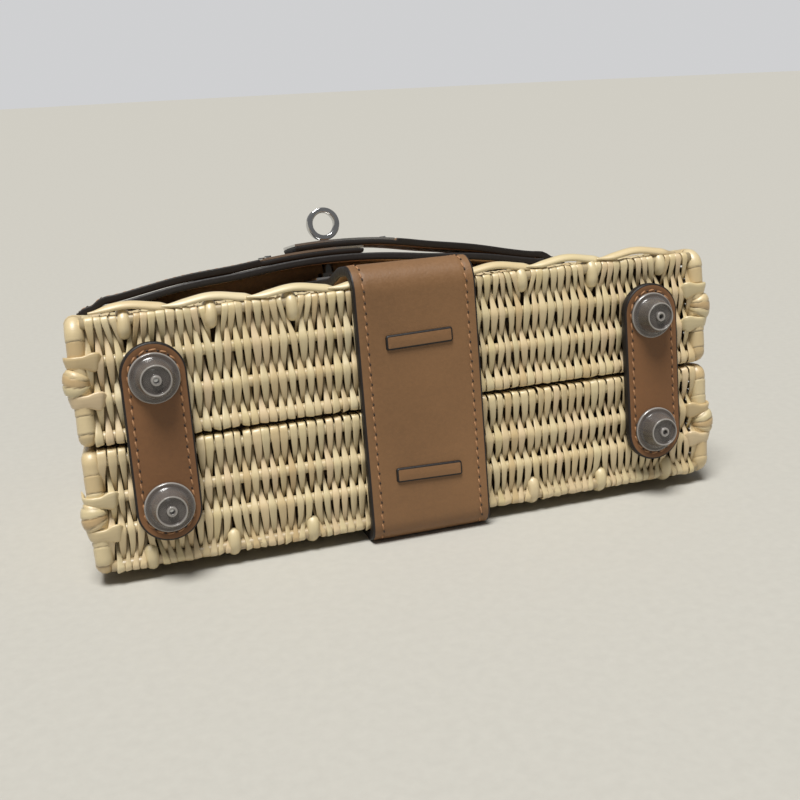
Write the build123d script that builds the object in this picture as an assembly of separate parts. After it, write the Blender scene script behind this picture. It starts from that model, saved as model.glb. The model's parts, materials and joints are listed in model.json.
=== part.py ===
"""A basket box bag lying on its back: woven case, leather band, flap and straps, turn lock and handle.

The bag is drawn with +X along its length, +Y from its base to its top and +Z out of its front face,
about the middle of its base. A last move lays the tapered back face flat on the plane Z = 0.
"""
import os
from math import asin, atan, cos, degrees, pi, sin, sqrt

from build123d import *

# woven case
base_length = 200.0  # outer length of the base, along X
base_depth = 75.0  # outer depth of the base, front to back
case_height = 125.0
side_slope = 0.1  # each wall leans in by this much for every millimetre of height
wall = 4.0
corner_radius = 4.0
base_edge_radius = 3.0
seam_gap = 1.2  # gap between the front and back halves of the basket
rim_height = 2.6  # border that stands proud along the foot of the front face
rim_width = 5.0
rim_edge_radius = 1.2
rim_end_inset = 4.0

# lining
lining_thickness = 1.2
lining_gap = 0.3
nut_headroom = 0.8  # lining over the foot nuts
lining_top_inset = 2.0

# leather
leather_gap = 0.3  # leather laid on the weave
band_thickness = 3.0
band_width = 38.0
band_top_reach = 17.0  # the front of the band ends this far above the lock
band_drop = 24.0  # height at which the front of the band comes down to the weave
band_crest = 12.0
band_crest_gap = 0.5
band_bends = [30.0, 10.0, 6.0, 4.0]
strap_thickness = 2.6
strap_width = 20.0
lock_drop = 28.0  # middle of the straps and of the turn lock, below the top of the case
strap_seat = 0.7  # strap laid on the weave at the back and sides
strap_layer_gap = 0.3

# laces that hold the band to the base
tie_length = 21.0
tie_width = 4.5
tie_thickness = 1.0
tie_offset = 20.3  # from the middle of the base
tie_round = 1.5
tie_leg = 1.6
tie_leg_width = 3.6
tie_depth = 2.0  # how far a lace end goes into the weave
slit_play = 0.2

# foot tabs and feet
tab_length = 57.0
tab_width = 18.5
tab_thickness = 2.8
tab_inset = 22.2  # middle of each foot tab, from the end of the base
foot_spacing = 37.0
foot_flange_radius = 5.4
foot_flange_height = 0.8
foot_base_radius = 4.6
foot_top_radius = 3.0
foot_height = 3.6
shank_radius = 1.5
shank_play = 0.1
nut_radius = 3.2
nut_height = 1.6
shank_tail = 0.4
cap_base_radius = 6.75
cap_top_radius = 4.1
cap_height = 5.7
cap_play = 0.2
cap_nub_radius = 1.45
cap_nub_height = 0.5
cap_hole_radius = 0.6

# flap
flap_end_inset = 7.3  # from the end walls, at the height of the lock
flap_gap = 0.5
flap_overhang = 3.0  # the flap's lower edge hangs this far below the straps
flap_back_gap = 1.0  # from the straps up to the flap's back edge
flap_rise = 9.3  # how far the leather arches off the front face at its middle
flap_reach_spare = 13.0  # the arch is this much longer than the flap at each end
flap_shoulder_drop = 6.0  # below the top of the case, where the flap starts to arch
flap_shoulder_share = 0.6
flap_outer_bend = 4.1
flap_inner_bend = 1.5

# strap ends and their metal plates
left_strap_overrun = 11.5  # each strap's end lies this far past the middle
right_strap_overrun = 14.2
plate_length = 38.0
plate_thickness = 0.8
plate_seat = 0.1
slot_width = 4.4
slot_play = 0.8
strap_centre_gap = 0.3
lift_start = 14.0  # where the upper strap starts down from the lower one
lift_clear = 8.0  # the upper strap is down this far before the end of the flap
plate_rivet_radius = 1.3
plate_rivet_head = 0.7
plate_rivet_seat = 0.2
plate_rivet_shank = 0.7
plate_rivet_play = 0.1
plate_rivet_inset = 3.0
plate_rivet_spacing = 12.0

# loops that hold the straps at the sides
loop_width = 10.0
loop_thickness = 2.0
loop_leg = 3.0
loop_play = 0.7

# turn lock
lock_plate_length = 24.0
lock_plate_width = 18.0
lock_plate_thickness = 1.5
lock_screw_spacing = 17.0
lock_screw_radius = 1.5
lock_screw_shank = 0.9
lock_screw_head = 0.6
post_radius = 2.0
post_foot_radius = 4.0
post_foot_height = 1.6
stem_radius = 1.2
stem_play = 0.05
stem_end_gap = 0.3
ring_radius = 6.1
ring_hole_radius = 4.15
ring_depth = 3.6
ring_gap = 0.4
ring_edge = 0.5

# handle
handle_half_span = 36.0
handle_leg = 6.0
handle_radius = 4.4
handle_end_width = 11.0
handle_end_thickness = 6.4
handle_end_length = 9.0
handle_end_offset = 2.25  # from the far side of the ring to the middle of the handle's end
handle_ground_gap = 0.2  # under the arch of the handle where it comes to rest
ring_wire = 1.3
ring_reach = 9.0
ring_half_width = 9.0
ring_bend = 2.6
wire_play = 0.05
end_play = 0.15
handle_tab_width = 12.4
handle_tab_length = 34.0
handle_tab_thickness = 2.0
tab_barrel_radius = 3.2
tab_bed = 0.2
tab_rivet_inset = 5.0
tab_rivet_radius = 1.6
tab_rivet_head = 0.6
tab_rivet_shank = 0.9

# rivets along the back edge of the flap
flap_rivet_count = 4
flap_rivet_pitch = 46.0
flap_rivet_radius = 2.4
flap_rivet_head = 0.8
flap_rivet_shank = 1.1
flap_rivet_play = 0.1

# how finely the arched leather is followed, and what a cut runs past
arch_point_count = 13
strap_point_count = 15
overshoot = 1.0
tolerance = 0.01

# worked out from the sizes above
lean = atan(side_slope)
out = 1.0 / cos(lean)  # a distance square to a leaning wall, measured level
back_level = leather_gap + band_thickness
strap_level = strap_seat + strap_thickness
lining_floor = wall + nut_height + nut_headroom
lock_height = case_height - lock_drop
band_front_top = lock_height + band_top_reach
strap_low = lock_height - strap_width / 2
strap_high = lock_height + strap_width / 2
flap_lower_edge = strap_low - flap_overhang
flap_back_edge = strap_high + flap_back_gap
flap_shoulder = case_height - flap_shoulder_drop
flap_outer = flap_gap + strap_thickness
flap_half_width = base_length / 2 - side_slope * lock_height - flap_end_inset
flap_reach = flap_half_width + flap_reach_spare
lift_end = flap_half_width - lift_clear
lower_strap_seat = flap_outer + strap_layer_gap
lower_strap_outer = lower_strap_seat + strap_thickness
upper_strap_seat = lower_strap_outer + strap_layer_gap
upper_strap_outer = upper_strap_seat + strap_thickness
slot_length = 2 * ring_radius + slot_play
tab_face = leather_gap + tab_thickness
tab_offset = base_length / 2 - tab_inset
flap_top = case_height + flap_gap + strap_thickness
pivot_height = flap_top + tab_bed + tab_barrel_radius
far = 2 * base_length
cut_reach = 2 * base_depth / 3  # goes through one side of a strap and not the other
rest_height = base_depth / 2 * cos(lean) + back_level  # of the base's middle over the ground
pivot_rest_height = rest_height - pivot_height * sin(lean)
handle_end_round = handle_end_thickness / 3
handle_reach = ring_reach + handle_leg + handle_half_span  # from the pivot line to the top of the arch
handle_drop = asin((pivot_rest_height - handle_radius - handle_ground_gap) / handle_reach)


def half_length(height):
    return base_length / 2 - side_slope * height


def half_depth(height):
    return base_depth / 2 - side_slope * height


def level(height):
    return Plane(origin=(0, height, 0), x_dir=(1, 0, 0), z_dir=(0, -1, 0))


def front_plane(x, height):
    origin = (x, height, half_depth(height))
    return Plane(origin=origin, x_dir=(1, 0, 0), z_dir=(0, sin(lean), cos(lean)))


def back_plane(x, height):
    origin = (x, height, -half_depth(height))
    return Plane(origin=origin, x_dir=(-1, 0, 0), z_dir=(0, sin(lean), -cos(lean)))


def side_plane(side, height):
    origin = (side * half_length(height), height, 0)
    return Plane(origin=origin, x_dir=(0, 0, -side), z_dir=(side * cos(lean), sin(lean), 0))


def base_plane(x, z):
    return Plane(origin=(x, 0, z), x_dir=(1, 0, 0), z_dir=(0, -1, 0))


def block(plane, width, height, low, high):
    """A box centred on a plane's origin, from low to high along its normal."""
    return plane.offset(low) * extrude(Rectangle(width, height), high - low)


def rod(plane, radius, low, high):
    return plane.offset(low) * extrude(Circle(radius), high - low)


def cone(plane, low_radius, high_radius, low, high):
    standing = (Align.CENTER, Align.CENTER, Align.MIN)
    return plane.offset(low) * Cone(low_radius, high_radius, high - low, align=standing)


# woven case

def taper_box(grow, low, high):
    """The case's tapered form between two heights, grown square to its walls."""
    sections = []
    for height in (low, high):
        length = 2 * (half_length(height) + grow * out)
        depth = 2 * (half_depth(height) + grow * out)
        radius = corner_radius + max(grow, -wall / 2)
        sections.append(level(height) * RectangleRounded(length, depth, radius))
    return loft(sections, ruled=True)


def case_half(side):
    outer = taper_box(0, 0, case_height)
    outer = fillet(outer.edges().group_by(Axis.Y)[0], base_edge_radius)
    shell = outer - taper_box(-wall, wall, case_height + overshoot)
    half = Pos(0, case_height / 2, side * (base_depth + seam_gap / 2)) * Box(far, far, 2 * base_depth)
    half_shell = shell & half
    for x in (-tab_offset, tab_offset):
        half_shell -= rod(base_plane(x, side * foot_spacing / 2), shank_radius + shank_play, -2 * wall, wall)
    for end in (-1, 1):
        x = end * (tie_length / 2 - tie_leg / 2)
        leg_plane = base_plane(x, side * tie_offset)
        slit = (tie_leg + slit_play, tie_width + slit_play)
        half_shell -= block(leg_plane, *slit, -tie_depth - slit_play, wall)
    return half_shell


def front_basket():
    rim_length = 2 * (half_length(0) - rim_end_inset)
    rim_plane = front_plane(0, base_edge_radius + rim_width / 2)
    rim = block(rim_plane, rim_length, rim_width, -wall / 2, rim_height)
    rim = fillet(rim.edges().filter_by(Axis.X).group_by(Axis.Z)[-1], rim_edge_radius)
    return case_half(1) + rim


def back_basket():
    basket = case_half(-1)
    for x in flap_rivet_places():
        hole_radius = flap_rivet_shank + flap_rivet_play
        basket -= rod(back_plane(x, flap_rivet_height()), hole_radius, -2 * wall, wall)
    return basket


def lining():
    grow = -(wall + lining_gap)
    top = case_height - lining_top_inset
    outer = taper_box(grow, lining_floor, top)
    inner = taper_box(grow - lining_thickness, lining_floor + lining_thickness, top + overshoot)
    return outer - inner


# leather band and its laces

def centre_band():
    middle = leather_gap + band_thickness / 2
    crest = rim_height + band_crest_gap + band_thickness / 2
    points = [
        (band_front_top, half_depth(band_front_top) + middle * out),
        (band_drop, half_depth(band_drop) + middle * out),
        (band_crest, half_depth(band_crest) + crest * out),
        (-middle, half_depth(0) + crest * out),
        (-middle, -half_depth(0) - middle * out),
        (strap_low - leather_gap, -half_depth(strap_low - leather_gap) - middle * out),
    ]
    path = Plane.YZ * FilletPolyline(*points, radius=band_bends)
    start = Plane(origin=path @ 0, x_dir=(1, 0, 0), z_dir=path % 0)
    band = sweep(start * Rectangle(band_width, band_thickness), path=path)
    for side in (-1, 1):
        for end in (-1, 1):
            leg_plane = base_plane(end * (tie_length / 2 - tie_leg / 2), side * tie_offset)
            band -= block(leg_plane, tie_leg + slit_play, tie_width + slit_play, 0, 2 * back_level)
    return band


def tie(side):
    """One lace: a bar over the band, with both ends let through it into the weave."""
    bar_plane = base_plane(0, side * tie_offset)
    bar = block(bar_plane, tie_length, tie_width, back_level, back_level + tie_thickness)
    bar = fillet(bar.edges().filter_by(Axis.Y), tie_round)
    for end in (-1, 1):
        leg_plane = base_plane(end * (tie_length / 2 - tie_leg / 2), side * tie_offset)
        bar += block(leg_plane, tie_leg, tie_leg_width, -tie_depth, back_level + tie_thickness / 2)
    return bar


# foot tabs, feet and their clear caps

def foot_tab(side):
    plane = base_plane(side * tab_offset, 0)
    tab = plane.offset(leather_gap) * extrude(SlotOverall(tab_length, tab_width, rotation=90), tab_thickness)
    for end in (-1, 1):
        hole = base_plane(side * tab_offset, end * foot_spacing / 2)
        tab -= rod(hole, shank_radius + shank_play, 0, 2 * tab_face)
    return tab


def foot(side, end):
    plane = base_plane(side * tab_offset, end * foot_spacing / 2)
    flange_top = tab_face + foot_flange_height
    stud = rod(plane, foot_flange_radius, tab_face, flange_top)
    stud += cone(plane, foot_base_radius, foot_top_radius, flange_top, flange_top + foot_height)
    stud += rod(plane, shank_radius, -(wall + nut_height + shank_tail), tab_face)
    return stud


def foot_cap(side, end):
    plane = base_plane(side * tab_offset, end * foot_spacing / 2)
    flange_top = tab_face + foot_flange_height + cap_play
    cap = cone(plane, cap_base_radius, cap_top_radius, tab_face, tab_face + cap_height)
    cap += rod(plane, cap_nub_radius, tab_face + cap_height, tab_face + cap_height + cap_nub_height)
    cap -= rod(plane, foot_flange_radius + cap_play, tab_face, flange_top)
    hollow_low = foot_base_radius + cap_play
    hollow_high = foot_top_radius + cap_play
    cap -= cone(plane, hollow_low, hollow_high, flange_top, flange_top + foot_height)
    cap -= rod(plane, cap_hole_radius, tab_face, 2 * tab_face + cap_height)
    return cap


def foot_nuts():
    nuts = []
    for side in (-1, 1):
        for end in (-1, 1):
            plane = base_plane(side * tab_offset, end * foot_spacing / 2)
            nut = rod(plane, nut_radius, -(wall + nut_height), -wall)
            nuts.append(nut - rod(plane, shank_radius + shank_play, -far, 0))
    return Compound(nuts)


# arched leather over the front face

def swell(x, rise):
    return rise * cos(pi * x / (2 * flap_reach)) ** 2


def no_lift(x):
    return 0.0


def upper_lift(x):
    """The upper strap stays level over the end of the lower one, then eases down beside it."""
    share = min(1.0, max(0.0, (x - lift_start) / (lift_end - lift_start)))
    ease = share * share * (3 - 2 * share)
    return (upper_strap_seat - lower_strap_seat) * (1 - ease)


def arch_points(height, start, end, seat, rise, lift):
    points = []
    for i in range(arch_point_count):
        x = start + (end - start) * i / (arch_point_count - 1)
        z = half_depth(height) + seat * out + swell(x, rise) + lift(x)
        points.append(Vector(x, height, z))
    return points


def arch_face(height, start, end, low, high, rise, lift=no_lift):
    lower = arch_points(height, start, end, low, rise, lift)
    upper = arch_points(height, start, end, high, rise, lift)
    edges = [
        Spline(*lower),
        Line(lower[-1], upper[-1]),
        Spline(*upper),
        Line(upper[0], lower[0]),
    ]
    return make_face(edges)


def arch_layer(start, end, low, high, lift=no_lift):
    """A layer of the closure between the straps' two edges."""
    heights = (strap_low, strap_high)
    faces = [arch_face(height, start, end, low, high, flap_rise, lift) for height in heights]
    return loft(faces, ruled=True)


def lock_slot(width, length):
    plane = front_plane(0, lock_height)
    return plane * extrude(SlotOverall(length, width, rotation=90), cut_reach)


def flap():
    shoulder = (flap_shoulder + strap_high) / 2
    stations = [
        (flap_lower_edge, flap_rise),
        (strap_high, flap_rise),
        (shoulder, flap_rise * flap_shoulder_share),
        (flap_shoulder, 0),
    ]
    body = None
    for (low, low_rise), (high, high_rise) in zip(stations, stations[1:]):
        faces = []
        for height, rise in ((low, low_rise), (high, high_rise)):
            faces.append(arch_face(height, -flap_half_width, flap_half_width, flap_gap, flap_outer, rise))
        piece = loft(faces, ruled=True)
        body = piece if body is None else body + piece
    inner_top = case_height + flap_gap
    back_inner = back_level - strap_thickness
    corners = [
        (flap_back_edge, -half_depth(flap_back_edge) - back_level * out),
        (flap_top, -half_depth(flap_top) - back_level * out),
        (flap_top, half_depth(flap_top) + flap_outer * out),
        (flap_shoulder, half_depth(flap_shoulder) + flap_outer * out),
        (flap_shoulder, half_depth(flap_shoulder) + flap_gap * out),
        (inner_top, half_depth(inner_top) + flap_gap * out),
        (inner_top, -half_depth(inner_top) - back_inner * out),
        (flap_back_edge, -half_depth(flap_back_edge) - back_inner * out),
    ]
    profile = make_face(Polyline(*corners, close=True))
    outer_bends = profile.vertices().filter_by(lambda v: abs(v.X - flap_top) < tolerance)
    profile = fillet(outer_bends, flap_outer_bend)
    inner_level = profile.vertices().filter_by(lambda v: abs(v.X - inner_top) < tolerance)
    inner_bends = inner_level.filter_by(lambda v: abs(v.Y) > half_depth(case_height))
    profile = fillet(inner_bends, flap_inner_bend)
    body += extrude(Plane.YZ * profile, flap_half_width, both=True)
    for x in flap_rivet_places():
        plane = back_plane(x, flap_rivet_height())
        body -= rod(plane, flap_rivet_shank + flap_rivet_play, 0, 2 * back_level)
        body -= rod(plane, flap_rivet_radius + flap_rivet_play, back_level - flap_rivet_head, 2 * back_level)
    return body - lock_slot(slot_width, slot_length)


def flap_rivet_height():
    return (flap_back_edge + case_height) / 2


def flap_rivet_places():
    middle = (flap_rivet_count - 1) / 2
    return [(i - middle) * flap_rivet_pitch for i in range(flap_rivet_count)]


def flap_rivets():
    rivets = []
    for x in flap_rivet_places():
        plane = back_plane(x, flap_rivet_height())
        rivet = rod(plane, flap_rivet_radius, back_level - flap_rivet_head, back_level)
        rivets.append(rivet + rod(plane, flap_rivet_shank, -wall, back_level - flap_rivet_head))
    return Compound(rivets)


# straps

def strap_face(height, side, end, seat, lift):
    """Section of one strap: across the back, round the side and over the flap."""
    inner = strap_seat
    long_half = half_length(height)
    deep_half = half_depth(height)

    def point(x, z):
        return Vector(side * x, height, z)

    def side_run(grow, front):
        """Points of one face of the strap, from the back's middle to the front corner."""
        back_z = -(deep_half + grow * out)
        side_x = long_half + grow * out
        round_back = corner_radius + grow
        round_front = corner_radius + front - inner + grow
        front_z = deep_half + (front + grow - inner) * out + swell(side_x - round_front, flap_rise)
        slant = 1 - sqrt(0.5)
        return [
            Line(point(strap_centre_gap, back_z), point(side_x - round_back, back_z)),
            ThreePointArc(
                point(side_x - round_back, back_z),
                point(side_x - round_back * slant, back_z + round_back * slant),
                point(side_x, back_z + round_back),
            ),
            Line(point(side_x, back_z + round_back), point(side_x, front_z - round_front)),
            ThreePointArc(
                point(side_x, front_z - round_front),
                point(side_x - round_front * slant, front_z - round_front * slant),
                point(side_x - round_front, front_z),
            ),
        ]

    def front_run(low, start_x):
        points = []
        for i in range(strap_point_count):
            x = start_x + (end - start_x) * i / (strap_point_count - 1)
            z = deep_half + low * out + swell(x, flap_rise) + lift(x)
            points.append(point(x, z))
        return points

    inner_run = side_run(inner, seat)
    outer_run = side_run(strap_level, seat)
    inner_start = side * (inner_run[-1] @ 1).X
    outer_start = side * (outer_run[-1] @ 1).X
    inner_front = front_run(seat, inner_start)
    outer_front = front_run(seat + strap_thickness, outer_start)
    edges = inner_run + [Spline(*inner_front)]
    edges += [Line(inner_front[-1], outer_front[-1]), Spline(*outer_front)]
    edges += outer_run + [Line(inner_run[0] @ 0, outer_run[0] @ 0)]
    return make_face(edges)


def strap(side, overrun, lift):
    """One strap, skived under its metal plate, with the slot for the lock."""
    heights = (strap_low, strap_high)
    faces = [strap_face(height, side, -overrun, lower_strap_seat, lift) for height in heights]
    body = loft(faces, ruled=True)
    body -= plate_layer(side, overrun + overshoot, plate_thickness + plate_seat, lift, overshoot)
    for plane in plate_rivet_planes(side, overrun):
        body -= rod(plane, plate_rivet_shank + plate_rivet_play, -cut_reach, cut_reach)
    return body - lock_slot(slot_width, slot_length)


def plate_layer(side, overrun, thickness, lift, above=0.0):
    ends = sorted((-side * overrun, side * (plate_length - overrun + above)))

    def own_lift(x):
        return lift(side * x)

    return arch_layer(*ends, lower_strap_outer - thickness, lower_strap_outer + above, own_lift)


def plate_rivet_planes(side, overrun):
    x = side * (plate_length - overrun - plate_rivet_inset)
    lift = upper_lift(side * x) if side > 0 else 0.0
    rise = (lower_strap_outer * out + swell(x, flap_rise) + lift) / out
    places = (lock_height - plate_rivet_spacing / 2, lock_height + plate_rivet_spacing / 2)
    return [front_plane(x, height).offset(rise) for height in places]


def strap_plate(side, overrun, lift):
    plate = plate_layer(side, overrun, plate_thickness, lift)
    for plane in plate_rivet_planes(side, overrun):
        plate -= rod(plane, plate_rivet_shank + plate_rivet_play, -cut_reach, cut_reach)
    return plate - lock_slot(slot_width, slot_length)


def strap_rivets():
    rivets = []
    for side, overrun in ((-1, left_strap_overrun), (1, right_strap_overrun)):
        for plane in plate_rivet_planes(side, overrun):
            head = rod(plane, plate_rivet_radius, plate_rivet_seat, plate_rivet_head)
            rivets.append(head + rod(plane, plate_rivet_shank, -strap_thickness, plate_rivet_seat))
    return Compound(rivets)


def strap_loop(side):
    """A leather loop that bridges a strap at the middle of the side wall."""
    plane = side_plane(side, lock_height)
    inside = strap_width + 2 * loop_play
    outside = inside + 2 * loop_leg
    top = strap_level + strap_layer_gap
    loop = block(plane, loop_width, outside, leather_gap, top + loop_thickness)
    return loop - block(plane, 2 * loop_width, inside, 0, top)


# turn lock

def lock_screw_planes():
    places = (lock_height - lock_screw_spacing / 2, lock_height + lock_screw_spacing / 2)
    return [front_plane(0, height) for height in places]


def lock_plate():
    plane = front_plane(0, lock_height).offset(back_level)
    outline = SlotOverall(lock_plate_length, lock_plate_width, rotation=90)
    plate = plane * extrude(outline, lock_plate_thickness)
    plate -= rod(plane, post_foot_radius / 2 + stem_play, -overshoot, lock_plate_thickness + overshoot)
    for screw in lock_screw_planes():
        plate -= rod(screw, lock_screw_shank + plate_rivet_play, 0, 2 * back_level)
    return plate


def lock_screws():
    screws = []
    for plane in lock_screw_planes():
        seat = back_level + lock_plate_thickness
        head = rod(plane, lock_screw_radius, seat, seat + lock_screw_head)
        screws.append(head + rod(plane, lock_screw_shank, back_level, seat))
    return Compound(screws)


def lock_post():
    """A bored post that stands on the lock plate and carries the turning ring."""
    plane = front_plane(0, lock_height)
    foot_base = back_level + lock_plate_thickness
    top = upper_strap_outer + flap_rise / out - strap_layer_gap
    post = rod(plane, post_foot_radius, foot_base, foot_base + post_foot_height)
    post += rod(plane, post_radius, foot_base, top)
    return post - rod(plane, stem_radius + stem_play, foot_base + stem_end_gap, far)


def lock_knob():
    plane = front_plane(0, lock_height)
    foot_base = back_level + lock_plate_thickness
    ring_base = upper_strap_outer + flap_rise / out + ring_gap
    centre = ring_base + ring_radius
    middle = plane.offset(centre).origin
    ring_plane = Plane(origin=middle, x_dir=(1, 0, 0), z_dir=plane.y_dir)
    ring = ring_plane * extrude(Circle(ring_radius) - Circle(ring_hole_radius), ring_depth / 2, both=True)
    ring = chamfer(ring.edges().filter_by(GeomType.CIRCLE), ring_edge / 2)
    stem_top = ring_base + (ring_radius - ring_hole_radius) / 2
    return ring + rod(plane, stem_radius, foot_base + 2 * stem_end_gap, stem_top)


# handle, drawn standing straight up from the top of the bag, then leant back

def pivot_plane():
    """X along the pivot line, Y up out of the bag, and the normal towards the front."""
    return Plane(origin=(0, pivot_height, 0), x_dir=(1, 0, 0), z_dir=(0, 0, 1))


def handle_ring_wire(side, radius):
    centre = pivot_plane() * Pos(side * handle_half_span, ring_reach / 2)
    path = centre * RectangleRounded(2 * ring_half_width, ring_reach, ring_bend).wire()
    start = Plane(origin=path @ 0, z_dir=path % 0)
    return sweep(start * Circle(radius), path=path)


def handle_ring(side):
    return handle_ring_wire(side, ring_wire)


def handle_body():
    top = ring_reach + handle_leg
    ends = [(-handle_half_span, top), (0, handle_reach), (handle_half_span, top)]
    left_leg = Line((-handle_half_span, ring_reach + handle_leg / 2), ends[0])
    arch = ThreePointArc(*ends)
    right_leg = Line(ends[2], (handle_half_span, ring_reach + handle_leg / 2))
    path = pivot_plane() * Wire([left_leg, arch, right_leg])
    start = Plane(origin=path @ 0, z_dir=path % 0)
    body = sweep(start * Circle(handle_radius), path=path)
    for side in (-1, 1):
        centre = pivot_plane() * Pos(side * handle_half_span, ring_reach + handle_end_offset)
        end = centre * Box(handle_end_width, handle_end_length, handle_end_thickness)
        end = fillet(end.edges().filter_by(Axis.X), handle_end_round)
        body += end
        body -= handle_ring_wire(side, ring_wire + end_play)
    return body


def handle_tab(side):
    """A leather tab on the flap whose barrel holds the straight side of a handle ring."""
    plane = Plane(origin=(side * handle_half_span, flap_top, 0), x_dir=(1, 0, 0), z_dir=(0, 1, 0))
    tab = block(plane, handle_tab_width, handle_tab_length, tab_bed, tab_bed + handle_tab_thickness)
    axis = Plane(origin=(side * handle_half_span, pivot_height, 0), x_dir=(0, 1, 0), z_dir=(1, 0, 0))
    tab += axis * extrude(Circle(tab_barrel_radius), handle_tab_width / 2, both=True)
    tab -= axis * extrude(Circle(ring_wire + wire_play), handle_tab_width, both=True)
    for rivet in tab_rivet_planes(side):
        tab -= rod(rivet, tab_rivet_shank + plate_rivet_play, -overshoot, cut_reach)
    return tab


def tab_rivet_planes(side):
    reach = handle_tab_length / 2 - tab_rivet_inset
    x = side * handle_half_span
    return [Plane(origin=(x, flap_top, z), x_dir=(1, 0, 0), z_dir=(0, 1, 0)) for z in (-reach, reach)]


def handle_tab_rivets():
    rivets = []
    for side in (-1, 1):
        for plane in tab_rivet_planes(side):
            seat = tab_bed + handle_tab_thickness
            head = rod(plane, tab_rivet_radius, seat, seat + tab_rivet_head)
            rivets.append(head + rod(plane, tab_rivet_shank, 0, seat))
    return Compound(rivets)


def lean_back(shape):
    """Turn a handle piece about the pivot line until its arch comes to the ground."""
    pivot = Pos(0, pivot_height, 0)
    return pivot * Rot(degrees(lean) - degrees(handle_drop), 0, 0) * pivot.inverse() * shape


def laid(shape):
    """Set the tapered back face flat on Z = 0."""
    return Pos(0, 0, rest_height) * Rot(-degrees(lean), 0, 0) * shape


sides = {"left": -1, "right": 1}
ends = {"front": 1, "back": -1}
nodes = {
    "front_basket": front_basket(),
    "back_basket": back_basket(),
    "lining": lining(),
    "centre_band": centre_band(),
    "foot_nuts": foot_nuts(),
    "flap": flap(),
    "flap_rivets": flap_rivets(),
    "left_strap": strap(-1, left_strap_overrun, no_lift),
    "right_strap": strap(1, right_strap_overrun, upper_lift),
    "left_strap_plate": strap_plate(-1, left_strap_overrun, no_lift),
    "right_strap_plate": strap_plate(1, right_strap_overrun, upper_lift),
    "strap_rivets": strap_rivets(),
    "lock_plate": lock_plate(),
    "lock_screws": lock_screws(),
    "lock_post": lock_post(),
    "lock_knob": lock_knob(),
    "handle": lean_back(handle_body()),
    "handle_tab_rivets": handle_tab_rivets(),
}
for end_name, end in ends.items():
    nodes[end_name + "_band_tie"] = tie(end)
for side_name, side in sides.items():
    nodes[side_name + "_foot_tab"] = foot_tab(side)
    nodes[side_name + "_strap_loop"] = strap_loop(side)
    nodes[side_name + "_handle_tab"] = handle_tab(side)
    nodes[side_name + "_handle_ring"] = lean_back(handle_ring(side))
    for end_name, end in ends.items():
        nodes[end_name + "_" + side_name + "_foot"] = foot(side, end)
        nodes[end_name + "_" + side_name + "_foot_cap"] = foot_cap(side, end)

laid_nodes = {name: laid(shape) for name, shape in nodes.items()}
middle = Compound(list(laid_nodes.values())).bounding_box().center()
os.makedirs("parts", exist_ok=True)
for name, shape in laid_nodes.items():
    export_step(Pos(0, -middle.Y, 0) * shape, os.path.join("parts", name + ".step"))
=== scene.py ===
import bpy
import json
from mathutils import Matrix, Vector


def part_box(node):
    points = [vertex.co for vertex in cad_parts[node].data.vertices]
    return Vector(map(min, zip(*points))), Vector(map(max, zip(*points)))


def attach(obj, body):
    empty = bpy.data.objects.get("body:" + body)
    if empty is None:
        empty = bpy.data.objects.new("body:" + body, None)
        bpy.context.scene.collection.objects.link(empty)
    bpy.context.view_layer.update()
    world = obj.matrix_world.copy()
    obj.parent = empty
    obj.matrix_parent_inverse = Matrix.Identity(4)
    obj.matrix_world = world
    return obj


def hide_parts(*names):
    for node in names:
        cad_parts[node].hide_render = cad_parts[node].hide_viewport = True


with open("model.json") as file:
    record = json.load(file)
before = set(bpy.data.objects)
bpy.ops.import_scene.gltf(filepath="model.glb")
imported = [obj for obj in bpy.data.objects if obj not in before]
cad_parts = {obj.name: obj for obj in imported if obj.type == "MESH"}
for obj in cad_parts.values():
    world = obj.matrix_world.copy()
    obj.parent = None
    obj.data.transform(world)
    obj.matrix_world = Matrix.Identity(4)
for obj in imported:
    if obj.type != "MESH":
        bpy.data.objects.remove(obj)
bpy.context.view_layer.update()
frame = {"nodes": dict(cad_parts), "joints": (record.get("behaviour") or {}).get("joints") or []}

import json
import math

import bpy
import numpy as np
from mathutils import Matrix

print("frame loaded:", len(frame["nodes"]), "nodes")

mm = 0.001
wallLean = 0.1  # the walls lean in by a tenth, so the bag lies tipped by this on its back
lean = math.atan(wallLean)
leanSin, leanCos = math.sin(lean), math.cos(lean)

# the bag's own frame, in millimetres: x along it, v up from the base, w out from mid-depth to the front
bag = {
    "tabLevel": 1.7,  # middle of a foot tab's thickness, below the base
    "backLevel": 3.3,  # outer face of the leather on the back
    "edgeRound": 0.31,  # what the rounded foot takes off the length
    "seamHalf": 0.6,
}
tabLow, tabHigh = (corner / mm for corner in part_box("left_foot_tab"))
baseY = (tabLow.y + tabHigh.y) / 2 + bag["tabLevel"] * leanCos
baseZ = (tabLow.z + tabHigh.z) / 2 - bag["tabLevel"] * leanSin
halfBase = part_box("front_basket")[1].x / mm + bag["edgeRound"]
halfBaseDepth = (baseZ - bag["backLevel"]) / leanCos
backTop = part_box("back_basket")[1].y / mm
caseHeight = (backTop - baseY + bag["seamHalf"] * leanSin) / leanCos


def halfLength(v):
    return halfBase - wallLean * v


def halfDepth(v):
    return halfBaseDepth - wallLean * v


# arrays and paths

def join(*values):
    # coordinates side by side on a last axis, each spread to the shape of the others
    return np.stack(np.broadcast_arrays(*values), -1)


def inDepth(w, v):
    return join(0.0, v, w)


def lay(points):
    # bag frame to row frame: turned back by the lean about the base's middle, then into metres
    x, v, w = np.moveaxis(np.asarray(points, float), -1, 0)
    return join(x, v * leanCos + w * leanSin + baseY, w * leanCos - v * leanSin + baseZ) * mm


def unit(vectors):
    return vectors / np.linalg.norm(vectors, axis=-1, keepdims=True)


def smooth(share):
    share = np.clip(share, 0, 1)
    return share * share * (3 - 2 * share)


def turns(count):
    return np.arange(count) * 2 * math.pi / count


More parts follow.
